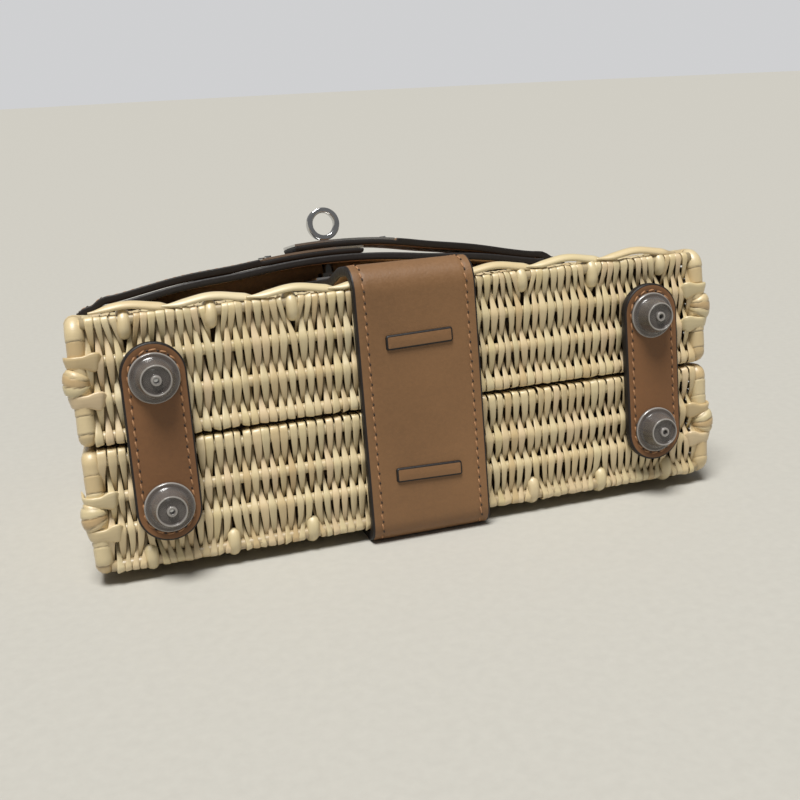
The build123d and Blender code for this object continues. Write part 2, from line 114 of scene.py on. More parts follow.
def dome(share, least):
    # a quarter circle from an end: the root of 1 - (1 - share) squared, never under the least
    return np.sqrt(np.clip(1 - (1 - np.clip(share, 0, 1)) ** 2, least, 1))


def sideWord(side):
    return "left" if side < 0 else "right"


def endWord(end):
    return "back" if end < 0 else "front"


def pathLength(path):
    return np.concatenate([[0], np.cumsum(np.linalg.norm(np.diff(path, axis=0), axis=1))])


def heading(path):
    # unit steps along the last axis but one
    return unit(np.gradient(path, axis=-2))


def sampled(marks, reach, path):
    # the points of a path at some lengths along it
    return np.stack([np.interp(marks, reach, column) for column in path.T], -1)


def markNear(path, spot):
    return pathLength(path)[np.argmin(np.hypot(*(path - spot).T))]


def roundedPath(corners, radii, step):
    # straight runs joined by arcs; an arc starts radius x tan(half its turn) before its corner
    corners = np.asarray(corners, float)
    runs = [corners[:1]]
    for before, corner, after, radius in zip(corners, corners[1:], corners[2:], radii):
        coming, going = unit(corner - before), unit(after - corner)
        turn = math.acos(np.clip(coming @ going, -1, 1))
        inward = (going - coming * math.cos(turn)) / math.sin(turn)
        angle = np.linspace(0, turn, 16)[:, None]
        start = corner - coming * radius * math.tan(turn / 2)
        runs.append(start + radius * (inward * (1 - np.cos(angle)) + coming * np.sin(angle)))
    path = np.concatenate(runs + [corners[-1:]])
    reach = pathLength(path)
    return sampled(np.linspace(0, reach[-1], max(2, round(reach[-1] / step) + 1)), reach, path)


# meshes

def makeMesh(name, points, faceSets, material, values, uv, sharp):
    # arrays straight into a mesh; a shape whose signed volume is negative is turned right side out
    volume = 0.0
    for faces in faceSets:
        for k in range(1, faces.shape[1] - 1):
            corner = [points[faces[:, i]] for i in (0, k, k + 1)]
            volume += np.einsum("ij,ij->", corner[0], np.cross(corner[1], corner[2]))
    if volume < 0:
        faceSets = [faces[:, ::-1] for faces in faceSets]
    corners = np.concatenate([faces.ravel() for faces in faceSets]).astype(np.int32)
    sizes = np.concatenate([np.full(len(faces), faces.shape[1]) for faces in faceSets])
    starts = np.concatenate([[0], np.cumsum(sizes)[:-1]]).astype(np.int32)
    mesh = bpy.data.meshes.new(name)
    mesh.vertices.add(len(points))
    mesh.vertices.foreach_set("co", points.astype(np.float32).ravel())
    mesh.loops.add(len(corners))
    mesh.loops.foreach_set("vertex_index", corners)
    mesh.polygons.add(len(sizes))
    mesh.polygons.foreach_set("loop_start", starts)
    for key, value in values.items():
        layer = mesh.attributes.new(key, "FLOAT", "POINT")
        layer.data.foreach_set("value", value.astype(np.float32))
    mesh.uv_layers.new(name="strip").data.foreach_set("uv", uv.astype(np.float32)[corners].ravel())
    mesh.update(calc_edges=True)
    mesh.validate()
    mesh.shade_smooth()
    if sharp:
        mesh.set_sharp_from_angle(angle=math.radians(sharp))
    mesh.materials.append(material)
    piece = bpy.data.objects.new(name, mesh)
    bpy.context.scene.collection.objects.link(piece)
    return piece


def tubeFaces(count, rings, sides, closed):
    # quads round each tube, and one closing face at each end, unless its last ring joins its first
    ring, side = np.arange(rings - (not closed))[:, None], np.arange(sides)[None]
    after = (ring + 1) % rings * sides
    turned = (side + 1) % sides
    quads = join(ring * sides + side, ring * sides + turned, after + turned, after + side).reshape(-1, 4)
    start = np.arange(count)[:, None, None] * rings * sides
    if closed:
        return [(quads + start).reshape(-1, 4)]
    ends = np.stack([np.arange(sides)[::-1], np.arange(sides) + (rings - 1) * sides])
    return [(quads + start).reshape(-1, 4), (ends + start).reshape(-1, sides)]


class Parts:
    # gathers tubes, each a grid of rings and sides, into one mesh with their values and strip coordinates
    def __init__(self):
        self.points, self.faces, self.values, self.uv, self.total = [], [], {}, [], 0

    def add(self, points, uv=(0.0, 0.0), closed=False, **values):
        points = points.reshape(-1, *points.shape[-3:])
        shape = points.shape[:3]
        self.faces += [faces + self.total for faces in tubeFaces(*shape, closed)]
        self.points.append(points.reshape(-1, 3))
        self.uv.append(np.broadcast_to(uv, shape + (2,)).reshape(-1, 2))
        for key, value in values.items():
            self.values.setdefault(key, []).append(np.broadcast_to(value, shape).ravel())
        self.total += math.prod(shape)

    def make(self, name, material, sharp=None, placed=False):
        points = np.concatenate(self.points)
        values = {key: np.concatenate(value) for key, value in self.values.items()}
        where = points if placed else lay(points)
        return makeMesh(name, where, self.faces, material, values, np.concatenate(self.uv), sharp)


def sectionAlong(centre, across, outward, halfWidth, thickness, section, roll):
    # a small section carried along each middle line, kept square to the line and facing outward
    along = heading(centre)
    side = unit(across - along * np.sum(across * along, -1, keepdims=True))
    up = np.cross(along, side)
    up = up * np.sign(np.sum(up * outward, -1, keepdims=True))
    cosRoll, sinRoll = np.cos(roll)[..., None], np.sin(roll)[..., None]
    side, up = side * cosRoll + up * sinRoll, up * cosRoll - side * sinRoll
    a, b = np.array(section).T
    wide = side[..., None, :] * (halfWidth[..., None] * a)[..., None]
    return centre[..., None, :] + wide + up[..., None, :] * (thickness * b)[:, None]


def tubeAlong(path, reference, radius, sides):
    # a round section about a path, radius given for every ring and side
    along = heading(path)
    side = unit(np.cross(along, np.asarray(reference, float)))
    up = np.cross(side, along)
    angle = turns(sides)[:, None]
    ring = side[:, None] * np.cos(angle) + up[:, None] * np.sin(angle)
    return path[:, None] + ring * np.broadcast_to(radius, (len(path), sides))[..., None]


def settle(piece, node, body="case"):
    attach(piece, body)
    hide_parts(node)


# materials

class Value:
    # a socket that can stand in a sum: each operator adds one Math node
    def __init__(self, finish, socket):
        self.finish, self.socket = finish, socket

    def math(self, operation, other):
        return self.finish.node("Math", {"operation": operation}, {0: self, 1: other})

    def __add__(self, other):
        return self.math("ADD", other)

    def __mul__(self, other):
        return self.math("MULTIPLY", other)

    def __pow__(self, other):
        return self.math("POWER", other)

    __radd__ = __add__
    __rmul__ = __mul__


class Finish:
    # one material: its shader's fixed sockets are set here, and what varies is linked with feed
    def __init__(self, name, **fixed):
        self.material = bpy.data.materials.new(name)
        self.material.use_nodes = True
        self.tree = self.material.node_tree
        self.shader = self.tree.nodes["Principled BSDF"]
        for key, value in fixed.items():
            self.shader.inputs[key.replace("_", " ")].default_value = value

    def node(self, kind, settings=None, sockets=None, out=0):
        made = self.tree.nodes.new("ShaderNode" + kind)
        for key, value in (settings or {}).items():
            if key == "stops":
                self.setStops(made.color_ramp, value)
            else:
                setattr(made, key, value)
        for key, value in (sockets or {}).items():
            if isinstance(value, Value):
                self.tree.links.new(value.socket, made.inputs[key])
            else:
                made.inputs[key].default_value = value
        return Value(self, made.outputs[out])

    def setStops(self, ramp, stops):
        while len(ramp.elements) < len(stops):
            ramp.elements.new(0.5)
        for element, (place, colour) in zip(ramp.elements, stops):
            element.position = place
            element.color = (*colour, 1.0)

    def attribute(self, name):
        return self.node("Attribute", {"attribute_name": name}, out="Fac")

    def place(self, scale=(1, 1, 1), kind="Object"):
        source = self.node("TexCoord", out=kind)
        return self.node("Mapping", sockets={"Vector": source, "Scale": scale})

    def noise(self, where, scale, detail=3.0, roughness=0.55):
        sockets = {"Vector": where, "Scale": scale, "Detail": detail, "Roughness": roughness}
        return self.node("TexNoise", sockets=sockets)

    def ramp(self, value, *stops):
        return self.node("ValToRGB", {"stops": stops}, {"Fac": value})

    def span(self, value, low, high, toLow=0.0, toHigh=1.0):
        sockets = {"Value": value, "From Min": low, "From Max": high, "To Min": toLow, "To Max": toHigh}
        return self.node("MapRange", sockets=sockets)

    def mix(self, factor, first, second):
        # colours sit on sockets 6 and 7 of a Mix node, and their result on output 2
        low, high = (colour if isinstance(colour, Value) else (*colour, 1.0) for colour in (first, second))
        return self.node("Mix", {"data_type": "RGBA"}, {0: factor, 6: low, 7: high}, 2)

    def feed(self, **sockets):
        for key, value in sockets.items():
            self.tree.links.new(value.socket, self.shader.inputs[key.replace("_", " ")])

    def bump(self, height, strength, distance):
        sockets = {"Strength": strength, "Distance": distance, "Height": height}
        self.feed(Normal=self.node("Bump", sockets=sockets))


def times(colour, factor):
    return tuple(factor * channel for channel in colour)


def wickerFinish():
    # split willow skin: each strip has its own tone and fine fibres along it; deep paints shade on it,
    # darkest where it dives under
    finish = Finish("wicker", Specular_IOR_Level=0.75, Coat_Weight=0.5, Coat_Roughness=0.32)
    tone, deep = finish.attribute("tone"), finish.attribute("deep")
    fibre = finish.noise(finish.place((3.2, 0.3, 1.0), "UV"), 3.0, 4.0, 0.65)
    cloud = finish.noise(finish.place(), 26.0, 2.0)
    skin = finish.ramp(
        tone * 0.85 + cloud * 0.15,
        (0.0, (0.49, 0.32, 0.145)), (0.18, (0.62, 0.465, 0.24)), (0.36, (0.71, 0.575, 0.335)),
        (0.52, (0.67, 0.565, 0.33)), (0.66, (0.73, 0.565, 0.345)), (0.82, (0.68, 0.555, 0.295)),
        (1.0, (0.81, 0.71, 0.485)))
    streaked = finish.mix(finish.span(fibre, 0.35, 0.75) * 0.35, skin, (0.55, 0.42, 0.23))
    # painted shade: deep darkens the skin toward a near-black brown
    shaded = finish.mix(deep ** 1.7 * 0.64, streaked, (0.18, 0.11, 0.048))
    finish.feed(Base_Color=shaded, Roughness=finish.span(fibre, 0.3, 0.8, 0.36, 0.55))
    finish.bump(fibre, 0.35, 0.0002)
    return finish.material


def leatherFinish(name, face, flesh):
    # smooth calf: fine pebbled grain, slow tone changes, painted cut edges and a suede flesh side
    finish = Finish(name, Specular_IOR_Level=0.4)
    where = finish.place()
    cells = finish.node("TexVoronoi", {"feature": "F1"}, {"Vector": where, "Scale": 1500.0})
    grain = finish.noise(where, 900.0)
    crease = finish.noise(where, 330.0, 2.0)
    cloud = finish.noise(where, 30.0)
    paint, raw = finish.attribute("paint"), finish.attribute("flesh")
    skin = finish.mix(finish.span(cloud, 0.3, 0.7), times(face, 0.78), face)
    skin = finish.mix(finish.span(grain, 0.35, 0.7) * 0.18, skin, times(face, 1.3))
    nap = finish.mix(finish.span(grain, 0.3, 0.7), times(flesh, 0.8), flesh)
    skin = finish.mix(raw, skin, nap)
    skin = finish.mix(finish.span(paint, 0.35, 0.65), skin, (0.012, 0.009, 0.008))
    finish.feed(Base_Color=skin, Roughness=finish.span(grain, 0.3, 0.7, 0.44, 0.6) + raw * 0.3)
    finish.bump(cells * 0.6 + grain * 0.6 + crease * 1.8, 0.3, 0.00016)
    return finish.material


def threadFinish(colour):
    # twisted thread, lighter and darker by turns, and the needle holes painted nearly black as shade
    finish = Finish("thread", Roughness=0.6)
    ply = finish.noise(finish.place(), 1600.0, 2.0)
    tint = finish.mix(finish.span(ply, 0.35, 0.7), times(colour, 0.7), colour)
    finish.feed(Base_Color=finish.mix(finish.attribute("hole"), tint, (0.035, 0.018, 0.01)))
    return finish.material


def metalFinish(name, low, high):
    # polished plate with faint rubbing
    finish = Finish(name, Metallic=1.0)
    rub = finish.noise(finish.place(), 240.0, 2.0, 0.5)
    tint = finish.mix(finish.span(rub, 0.35, 0.7), low, high)
    finish.feed(Base_Color=tint, Roughness=finish.span(rub, 0.3, 0.8, 0.12, 0.19))
    finish.bump(rub, 0.01, 0.00005)
    return finish.material


def plasticFinish():
    # cloudy soft plastic over the metal: smoky on the flats, more opaque along every turned rim and where
    # seen edge on, and lighter there by painted highlights and a painted sheen
    finish = Finish("clearPlastic", Roughness=0.24, Specular_IOR_Level=0.6, Coat_Weight=0.5,
                    Coat_Roughness=0.1)
    haze = finish.noise(finish.place(), 190.0, 2.0)
    rim = finish.attribute("rim")
    edge = finish.node("LayerWeight", sockets={"Blend": 0.35}, out="Facing")
    tint = finish.mix(finish.span(haze, 0.3, 0.7), (0.085, 0.072, 0.064), (0.125, 0.11, 0.10))
    # painted sheen: the tint lightens where the surface is seen edge on
    tint = finish.mix(edge ** 2.0 * 0.7, tint, (0.34, 0.32, 0.30))
    # painted highlight: the tint lightens along the turned rims
    tint = finish.mix(rim * 0.85, tint, (0.36, 0.34, 0.315))
    finish.feed(Base_Color=tint, Alpha=finish.span(haze, 0.3, 0.7, 0.62, 0.72) + edge * 0.3 + rim * 0.3)
    finish.bump(haze, 0.02, 0.0001)
    return finish.material


def clothFinish():
    # dark brown twill, seen only between the strips
    finish = Finish("liningCloth", Roughness=0.85)
    where = finish.place()
    wave = finish.node("TexWave", {"bands_direction": "DIAGONAL"}, {"Vector": where, "Scale": 260.0})
    weft = finish.mix(finish.span(wave, 0.2, 0.8), (0.045, 0.028, 0.016), (0.075, 0.048, 0.028))
    finish.feed(Base_Color=finish.mix(finish.noise(where, 60.0) * 0.4, weft, (0.03, 0.018, 0.01)))
    finish.bump(wave, 0.2, 0.0001)
    return finish.material


def floorFinish():
    finish = Finish("paleFloor", Roughness=0.7)
    # matt and pale, mottled by a fine noise
    grain = finish.noise(finish.place(), 320.0)
    tint = finish.mix(finish.span(grain, 0.3, 0.7), (0.475, 0.463, 0.42), (0.50, 0.488, 0.443))
    finish.feed(Base_Color=tint)
    finish.bump(grain, 0.08, 0.0004)
    return finish.material


wicker = wickerFinish()
tanLeather = leatherFinish("tanLeather", (0.242, 0.126, 0.054), (0.60, 0.38, 0.22))
tabLeather = leatherFinish("tabLeather", (0.215, 0.100, 0.040), (0.36, 0.24, 0.14))
thread = threadFinish((0.47, 0.24, 0.11))
metal = metalFinish("polishedMetal", (0.47, 0.47, 0.465), (0.53, 0.53, 0.52))
# a darker copy of the metal: painted shade for the lock post, which sits in shadow
shadedMetal = metalFinish("shadedMetal", (0.07, 0.067, 0.06), (0.10, 0.095, 0.088))
plastic = plasticFinish()
cloth = clothFinish()
print("finishes made")


# woven trays

weave = {
    "stripPitch": 2.72,  # between two neighbours that pass over the same rod
    "stripThick": 0.5, "crestWidth": 2.44, "diveWidth": 0.92,
    "narrowing": 1.8,  # higher for strips that narrow sooner as they dive
    "rodRadius": 1.7,
    "rodLevel": -2.2,  # middle of a rod, from the face of the weave
    "rodPitch": 10.6,  # up the walls
    "rodSides": 8, "baseRods": {1: (2.9, 13.2, 24.1), -1: (3.9, 14.7, 24.3)}, "firstWallRod": 11.0,
    "firstEndRod": 3.2,
    "endInset": 4.4,  # room for the wrapped rods at the ends and corners
    "seamFace": 0.5,
    "topGap": 3.0,  # from the ends of the strips to the top of the case
    "stakes": (-84.0, -60.0, -36.0, 36.0, 60.0, 84.0), "stakeRadius": 1.95,
    "stakeInset": {1: 5.9, -1: 6.0},  # from the foot of the wall to a stake's blunt end
    "stakeShift": 2.1,  # how far a stake end pushes the strips aside, and over what lengths that fades
    "shiftAlong": 5.5, "shiftAcross": {1: 6.6, -1: 5.8},
    "bend": 0.97,  # nearer 1 for sharper bends over the rods
    "steps": (0.0, 0.07, 0.16, 0.38, 0.66, 0.85, 0.93),
    "lens": ((-1, 0), (-0.85, 0.34), (-0.52, 0.47), (0.52, 0.47), (0.85, 0.34), (1, 0), (0, -0.42)),
}
stripTop = caseHeight - weave["topGap"]


def crossing(phase, bias):
    # height of a strip, 1 over a rod and -1 under it: the arcsine of a cosine, so it runs straight between
    # round bends; bias moves the middle of each run along
    whole = np.floor(phase)
    part = phase - whole
    wave = np.cos(math.pi * (whole + part + bias * np.sin(math.pi * part) ** 2))
    return np.arcsin(weave["bend"] * wave) / math.asin(weave["bend"])


def stripSet(parts, place, marks, phase, fractions, over, bias, rng):
    # strips side by side: place maps (fraction, mark, lift, wander) to a point, and over says which rods
    # they pass over; a strip is widest on a crest and narrows to a power of its height
    each = (len(fractions), 1)
    swing = weave["rodRadius"] + weave["stripThick"] / 2
    height = crossing(phase + over, bias) * (1 + rng.normal(0, 0.03, each))
    lift = -weave["stripThick"] * 0.55 - swing * (1 - np.clip(height, -1.05, 1.03))
    wander = rng.normal(0, 0.10, each) + rng.normal(0, 0.16, each) * np.sin(math.pi * phase + over)
    twist = rng.normal(0, 0.12, each) + rng.normal(0, 0.10, each) * height
    centre, across, outward, squeeze = place(fractions[:, None], marks, lift, wander)
    share = np.clip(0.5 + height / 2, 0, 1)
    wide = weave["diveWidth"] + (weave["crestWidth"] - weave["diveWidth"]) * share ** weave["narrowing"]
    wide = wide * (1 + rng.normal(0, 0.07, each)) * squeeze / 2
    points = sectionAlong(centre, across, outward, wide, weave["stripThick"], weave["lens"], twist)
    own = rng.random((*each, 1)) * 50
    uv = join(np.array(weave["lens"])[:, 0] * 0.5 + own, marks[:, None] / 10)
    tone = rng.beta(1.6, 1.5, (*each, 1))
    # deep paints shade on a strip, darkest where it dives under a rod
    parts.add(points, uv, tone=tone, deep=np.clip(0.5 - height / 2, 0, 1)[..., None])


def spreadOut(count, over):
    # even places from -1 to 1; the second set has one fewer, so that each falls between two of the first
    number = count - over
    return ((np.arange(number) + 0.5) / number * 2 - 1) * (1 - over / count)


def stripMarks(first, stations, last):
    # ring places along a strip: closest where it bends over each rod
    between = [low + (high - low) * np.array(weave["steps"]) for low, high in zip(stations, stations[1:])]
    return np.concatenate([first, *between, np.linspace(stations[-1], last, 4)])


def levelRod(parts, place, mark, reach, rings, start, rng, deep):
    # a round rod under the strips, a little uneven along its length; deep paints shade on it
    share = np.linspace(-reach, reach, rings)
    middle, _, outward, _ = place(share, mark + 0 * share, weave["rodLevel"], 0.0)
    radius = weave["rodRadius"] * (1 + rng.normal(0, 0.03, (rings, 1)))
    uv = join(np.arange(weave["rodSides"]) / 4 + start, np.arange(rings)[:, None] * 0.4)
    parts.add(tubeAlong(middle, outward[0], radius, weave["rodSides"]), uv, tone=rng.random(), deep=deep)


def trayPath():
    # section of a tray: out of the seam, across the base, round the foot and up the wall
    face = weave["seamFace"]
    corners = [(face, 5.0), (face, 0.0), (halfBaseDepth, 0.0), (halfDepth(stripTop), stripTop)]
    return roundedPath(corners, (1.4, 3.1), 0.2)


def trayStations(path, sign):
    # where the rods lie along that section
    spots = [(w, 0.0) for w in weave["baseRods"][sign]] + [(halfBaseDepth, 0.0)]
    heights = np.arange(weave["firstWallRod"], caseHeight - 4, weave["rodPitch"])
    spots += [(halfDepth(v), v) for v in heights]
    return np.array([markNear(path, spot) for spot in spots])


def trayPlace(path, sign):
    # strips lie square to the section; by a stake end they are shifted aside and squeezed by a bell curve
    reach = pathLength(path)
    along = heading(path)
    normal = join(along[:, 1], -along[:, 0])  # faces out of the tray
    foot = markNear(path, (halfBaseDepth, 0))

    def place(fraction, mark, lift, wander):
        w, v = np.moveaxis(sampled(mark, reach, path), -1, 0)
        nw, nv = np.moveaxis(sampled(mark, reach, normal), -1, 0)
        nearFoot = np.exp(-((mark - foot) / weave["shiftAcross"][sign]) ** 2)
        x = fraction * (halfLength(np.maximum(v, 0)) - weave["endInset"]) + wander
        shift, crowd = 0.0, 0.0
        for stake in weave["stakes"]:
            near = np.exp(-((x - stake) / weave["shiftAlong"]) ** 2) * nearFoot
            way = np.sign(fraction * (halfBase - weave["endInset"]) - stake)
            shift = shift + way * weave["stakeShift"] * near
            crowd = crowd + near
        lift = np.maximum(lift, -4.6 + 1.6 * np.exp(-((mark - foot) / 3.0) ** 2))
        centre = join(x + shift, v + nv * lift, sign * (w + nw * lift))
        flat = 1 + 0.07 * np.exp(-((mark - foot) / 2.6) ** 2)  # the wraps round the foot lie flat and touch
        squeeze = flat * (1 - 0.22 * np.clip(crowd, 0, 1))
        return centre, np.array([1.0, 0, 0]), join(0.0, nv, sign * nw), squeeze
    return place


def trayWeave(word, sign, bias, seed):
    # one set of strips starts in the seam over the first rod, and the other goes under it
    rng = np.random.default_rng(seed)
    path = trayPath()
    stations = trayStations(path, sign)
    place = trayPlace(path, sign)
    count = int(2 * (halfBase - weave["endInset"]) / weave["stripPitch"])
    halves = {"Left": Parts(), "Right": Parts()}
    for over in (0, 1):
        fractions = spreadOut(count, over)
        first = [stations[0] - 1.2] if over else np.linspace(0.0, stations[0], 7)[:-1]
        marks = stripMarks(first, stations, pathLength(path)[-1])
        phase = np.interp(marks, stations, np.arange(len(stations)))
        for half, keep in (("Left", fractions < 0), ("Right", fractions >= 0)):
            stripSet(halves[half], place, marks, phase, fractions[keep], over, bias, rng)
    for half, parts in halves.items():
        settle(parts.make(word + "Weave" + half, wicker), word + "_basket")
    rods = Parts()
    footRod = len(weave["baseRods"][sign])  # the one in the shade of the wraps
    for k, mark in enumerate(stations):
        # deep paints shade on the rods, darker on the foot rod
        levelRod(rods, place, mark, 1.0, 48, 3 * k, rng, 0.85 if k == footRod else 0.45)
    settle(rods.make(word + "Rods", wicker), word + "_basket")


def endWeave(word, sign, side, seed):
    # the end wall of one tray: strips up the wall over level rods
    rng = np.random.default_rng(seed)
    parts = Parts()
    heights = np.arange(weave["firstEndRod"], caseHeight - 1.4, weave["rodPitch"])
    inner = weave["seamFace"] + 4.2

    def place(fraction, mark, lift, wander):
        w = inner + (fraction + 1) / 2 * (halfDepth(mark) - weave["endInset"] - inner) + wander
        centre = join(side * (halfLength(mark) + lift * leanCos), mark + lift * leanSin, sign * w)
        outward = np.broadcast_to(np.array([side * leanCos, leanSin, 0.0]), centre.shape)
        return centre, np.array([0, 0, 1.0]), outward, 1.0

    for over in (0, 1):
        fractions = spreadOut(int((halfBaseDepth - 10) / weave["stripPitch"]), over)
        marks = stripMarks([], heights, stripTop)
        phase = np.interp(marks, heights, np.arange(len(heights)))
        stripSet(parts, place, marks, phase, fractions, over, 0.0, rng)
    for k, height in enumerate(heights[1:]):
        # deep paints shade on the end wall's rods
        levelRod(parts, place, height, 1.25, 14, k, rng, 0.45)
    name = word + "Weave" + sideWord(side).capitalize() + "End"
    settle(parts.make(name, wicker), word + "_basket")


# bound rods and borders

wrap = {
    "sides": 14,
    "slant": 0.15,  # how much of a turn the binding leans over the rod
    # painted shade: over this share of each turn the wicker is darkened, as the groove beside the last turn
    # lies in shade
    "groove": 0.10,  # share of a turn that lies in the dark beside the last one
    "frameRadius": 2.55, "framePitch": 5.2, "frameLip": 0.36, "rimRadius": 2.1, "rimLip": 0.3,
}
fold = {
    "line": ((90.4, 1.8), (92.4, -0.1), (halfBase + 0.45, -0.1), (halfBase + 0.3, 7.5)), "thick": 0.95,
    "roll": 0.25, "knotSides": 16, "knotHalf": 3.6,
    "knotTurns": 1.6,  # turns of the binding from the knot's middle to its end
}
scallop = {
    "pitch": 24.0,
    "before": 13.2,  # reach of a strip to the left and right of its middle
    "firstBefore": 9.0, "after": 15.5, "rise": 1.45, "halfWidth": 1.65, "halfThick": 0.85,
    "rightShift": 9.0,  # right of the band they rise before their stakes
}


def wrappedRod(parts, path, reference, radius, pitch, lip, rng):
    # a rod bound with flat strip: the radius climbs by the lip over each turn, and the tone changes by turn;
    # deep paints shade in the groove by each turn
    share = np.arange(wrap["sides"]) / wrap["sides"]
    turn = pathLength(path)[:, None] / pitch + wrap["slant"] * np.cos(2 * math.pi * share) + rng.random()
    part = turn % 1
    shaped = radius + lip * (smooth(part / 0.1) * (1 - 0.35 * part) - 0.5)
    tone = rng.random(int(turn.max()) + 3)[np.floor(turn).astype(int) + 1]
    deep = 1.25 * (1 - smooth(part / wrap["groove"]))
    tube = tubeAlong(path, reference, shaped, wrap["sides"])
    parts.add(tube, join(turn * 3, share * 4), tone=0.04 + tone * 0.4, deep=deep)


def foldedEnds(parts, sign, side, rng):
    # ends of the level rods folded over the end rod, flared where they leave the weave, with a knot between
    loops = weave["baseRods"][sign][1:]
    line = roundedPath(fold["line"], (1.4, 3.0), 0.35)
    reach = pathLength(line)
    along = heading(line)
    flare = 1.3 + 1.6 * smooth(reach / 3.0) - smooth((reach - 3.4) / 3.4)
    outward = join(side * along[:, 1], -along[:, 0], 0.0)
    across, lens = np.array([0, 0, 1.0]), weave["lens"]
    for w in loops:
        centre = join(side * line[:, 0], line[:, 1], sign * (w + 0.5 * np.sin(reach / 5.0)))
        points = sectionAlong(centre, across, outward, flare, fold["thick"], lens, fold["roll"])
        # deep paints a faint shade on the folded ends
        parts.add(points, join(np.arange(len(lens)) / 4, reach[:, None] / 10), tone=rng.random(), deep=0.05)
    # the knot's radius is the fourth root of a circle along it, with a step at each turn of its binding
    share = np.linspace(-1, 1, 22)
    radius = wrap["frameRadius"]
    line = join(side * (halfBase - radius + 0.9 * (1 - share ** 2)), radius - 0.1,
                sign * (sum(loops) / 2 + share * fold["knotHalf"]))
    around = np.arange(fold["knotSides"]) / fold["knotSides"]
    turn = share[:, None] * fold["knotTurns"] + 0.3 * np.sin(2 * math.pi * around) + 5.3
    part = turn % 1
    bulge = 1.2 + 2.35 * np.sqrt(1 - share[:, None] ** 4) + 0.45 * (smooth(part / 0.2) - 0.5)
    tone = 0.25 + 0.3 * np.sin(np.floor(turn) * 2.1)
    knot = tubeAlong(line, (1, 0, 0), bulge, fold["knotSides"])
    # deep paints shade in the groove at each turn of the binding
    parts.add(knot, join(turn * 3, around * 4), tone=tone, deep=0.8 * (1 - smooth(part / 0.16)))


def endFrame(word, sign, side, seed):
    # the bound rod that frames one end of a tray: up the corner, across the base and up beside the seam
    rng = np.random.default_rng(seed)
    radius, top = wrap["frameRadius"], caseHeight - 1.5
    parts = Parts()

    def corner(v, w):
        return side * (halfLength(v) - radius), v, sign * w

    seam = weave["seamFace"] + radius
    front = halfDepth(top) - radius
    corners = [corner(top, seam), corner(radius, seam), corner(radius, halfBaseDepth - radius),
               corner(top, front)]
    path = roundedPath(corners, (1.2, 3.0), 0.27)
    wrappedRod(parts, path, (1, 0, 0), radius, wrap["framePitch"], wrap["frameLip"], rng)
    foldedEnds(parts, sign, side, rng)
    # the rim along the top of the end wall
    path = join(side * (halfLength(top) - 2.2), top - 0.6, sign * np.linspace(seam, front, 30))
    wrappedRod(parts, path, (1, 0, 0), wrap["rimRadius"], 3.0, wrap["rimLip"], rng)
    name = word + "Frame" + sideWord(side).capitalize()
    settle(parts.make(name, wicker), word + "_basket")


def stakeEnd(parts, stake, sign, rng):
    # a round stake bent over the foot of the wall, with a blunt end on the base
    near = halfBaseDepth - weave["stakeInset"][sign] + rng.normal(0, 0.4)
    corners = [(near, 1.6), (near + 1.8, 0.25), (halfBaseDepth + 0.1, 0.25), (halfDepth(7) + 0.3, 7.0)]
    line = roundedPath(corners, (2.0, 2.6), 0.6)
    reach = pathLength(line)
    centre = join(stake + 0.15 * reach * rng.normal(0, 0.3), line[:, 1] + 1.4, sign * (line[:, 0] - 1.3))
    radius = weave["stakeRadius"] * dome(reach / 0.9, 0.64)
    uv = join(np.arange(12) / 4, reach[:, None] / 10)
    tube = tubeAlong(centre, (1, 0, 0), radius[:, None], 12)
    parts.add(tube, uv, tone=0.3 + 0.3 * rng.random(), deep=0.0)


def scallops(parts, rng):
    # each strip starts under the last hump, rises over or beside its own stake and dips under the next: its
    # height over the wall is a squared cosine from dip to dip, sinking past its right-hand dip
    angle = turns(10)
    for k, middle in enumerate(np.arange(-84.0, 85, scallop["pitch"])):
        if middle > 0:
            middle -= scallop["rightShift"]
        away = np.linspace(-scallop["before"] if k else -scallop["firstBefore"], scallop["after"], 44)
        bump = np.cos(math.pi * np.clip((away - 1.0) / scallop["pitch"], -0.5, 0.5)) ** 2
        bump = 0.1 + scallop["rise"] * bump - 1.2 * smooth((away - 10.5) / 5.0)
        v = 2.2 + 0.04 * away + 0.2 * rng.normal()
        begun = smooth((away - away[0]) / 6.5)
        wide = scallop["halfWidth"] * (0.25 + 0.75 * begun) * (1 - 0.35 * smooth((away - 9.0) / 6.0))
        thick = scallop["halfThick"] * (0.45 + 0.55 * begun)
        roll = 0.5 + 0.012 * away[:, None]
        flat, high = wide[:, None] * np.cos(angle), thick[:, None] * np.sin(angle)
        rise = flat * np.sin(roll) + high * np.cos(roll)
        aside = flat * np.cos(roll) - high * np.sin(roll)
        points = join(middle + away, v, halfDepth(v) + bump)[:, None] + join(0.0, aside, rise)
        # painted shade where each strip tucks under the next hump
        tuckedShade = 0.8 * smooth((away - 10.0) / 3.0)[:, None]
        uv = join(angle * 0.6 + k, away[:, None] / 10)
        parts.add(points, uv, tone=0.75 + 0.25 * rng.random(), deep=tuckedShade)


def border(word, sign, seed):
    # stake ends over the foot of the wall, scalloped strips in front, and the bound rod along the top
    rng = np.random.default_rng(seed)
    parts = Parts()
    for stake in weave["stakes"]:
        stakeEnd(parts, stake, sign, rng)
    if sign > 0:
        scallops(parts, rng)
    radius = wrap["rimRadius"]
    top = caseHeight - radius
    along = np.linspace(-1, 1, 360) * (halfLength(top) - 4.0)
    path = join(along, top, sign * (halfDepth(top) - radius))
    wrappedRod(parts, path, (0, 1, 0), radius, 3.1, wrap["rimLip"], rng)
    settle(parts.make(word + "Border", wicker), word + "_basket")


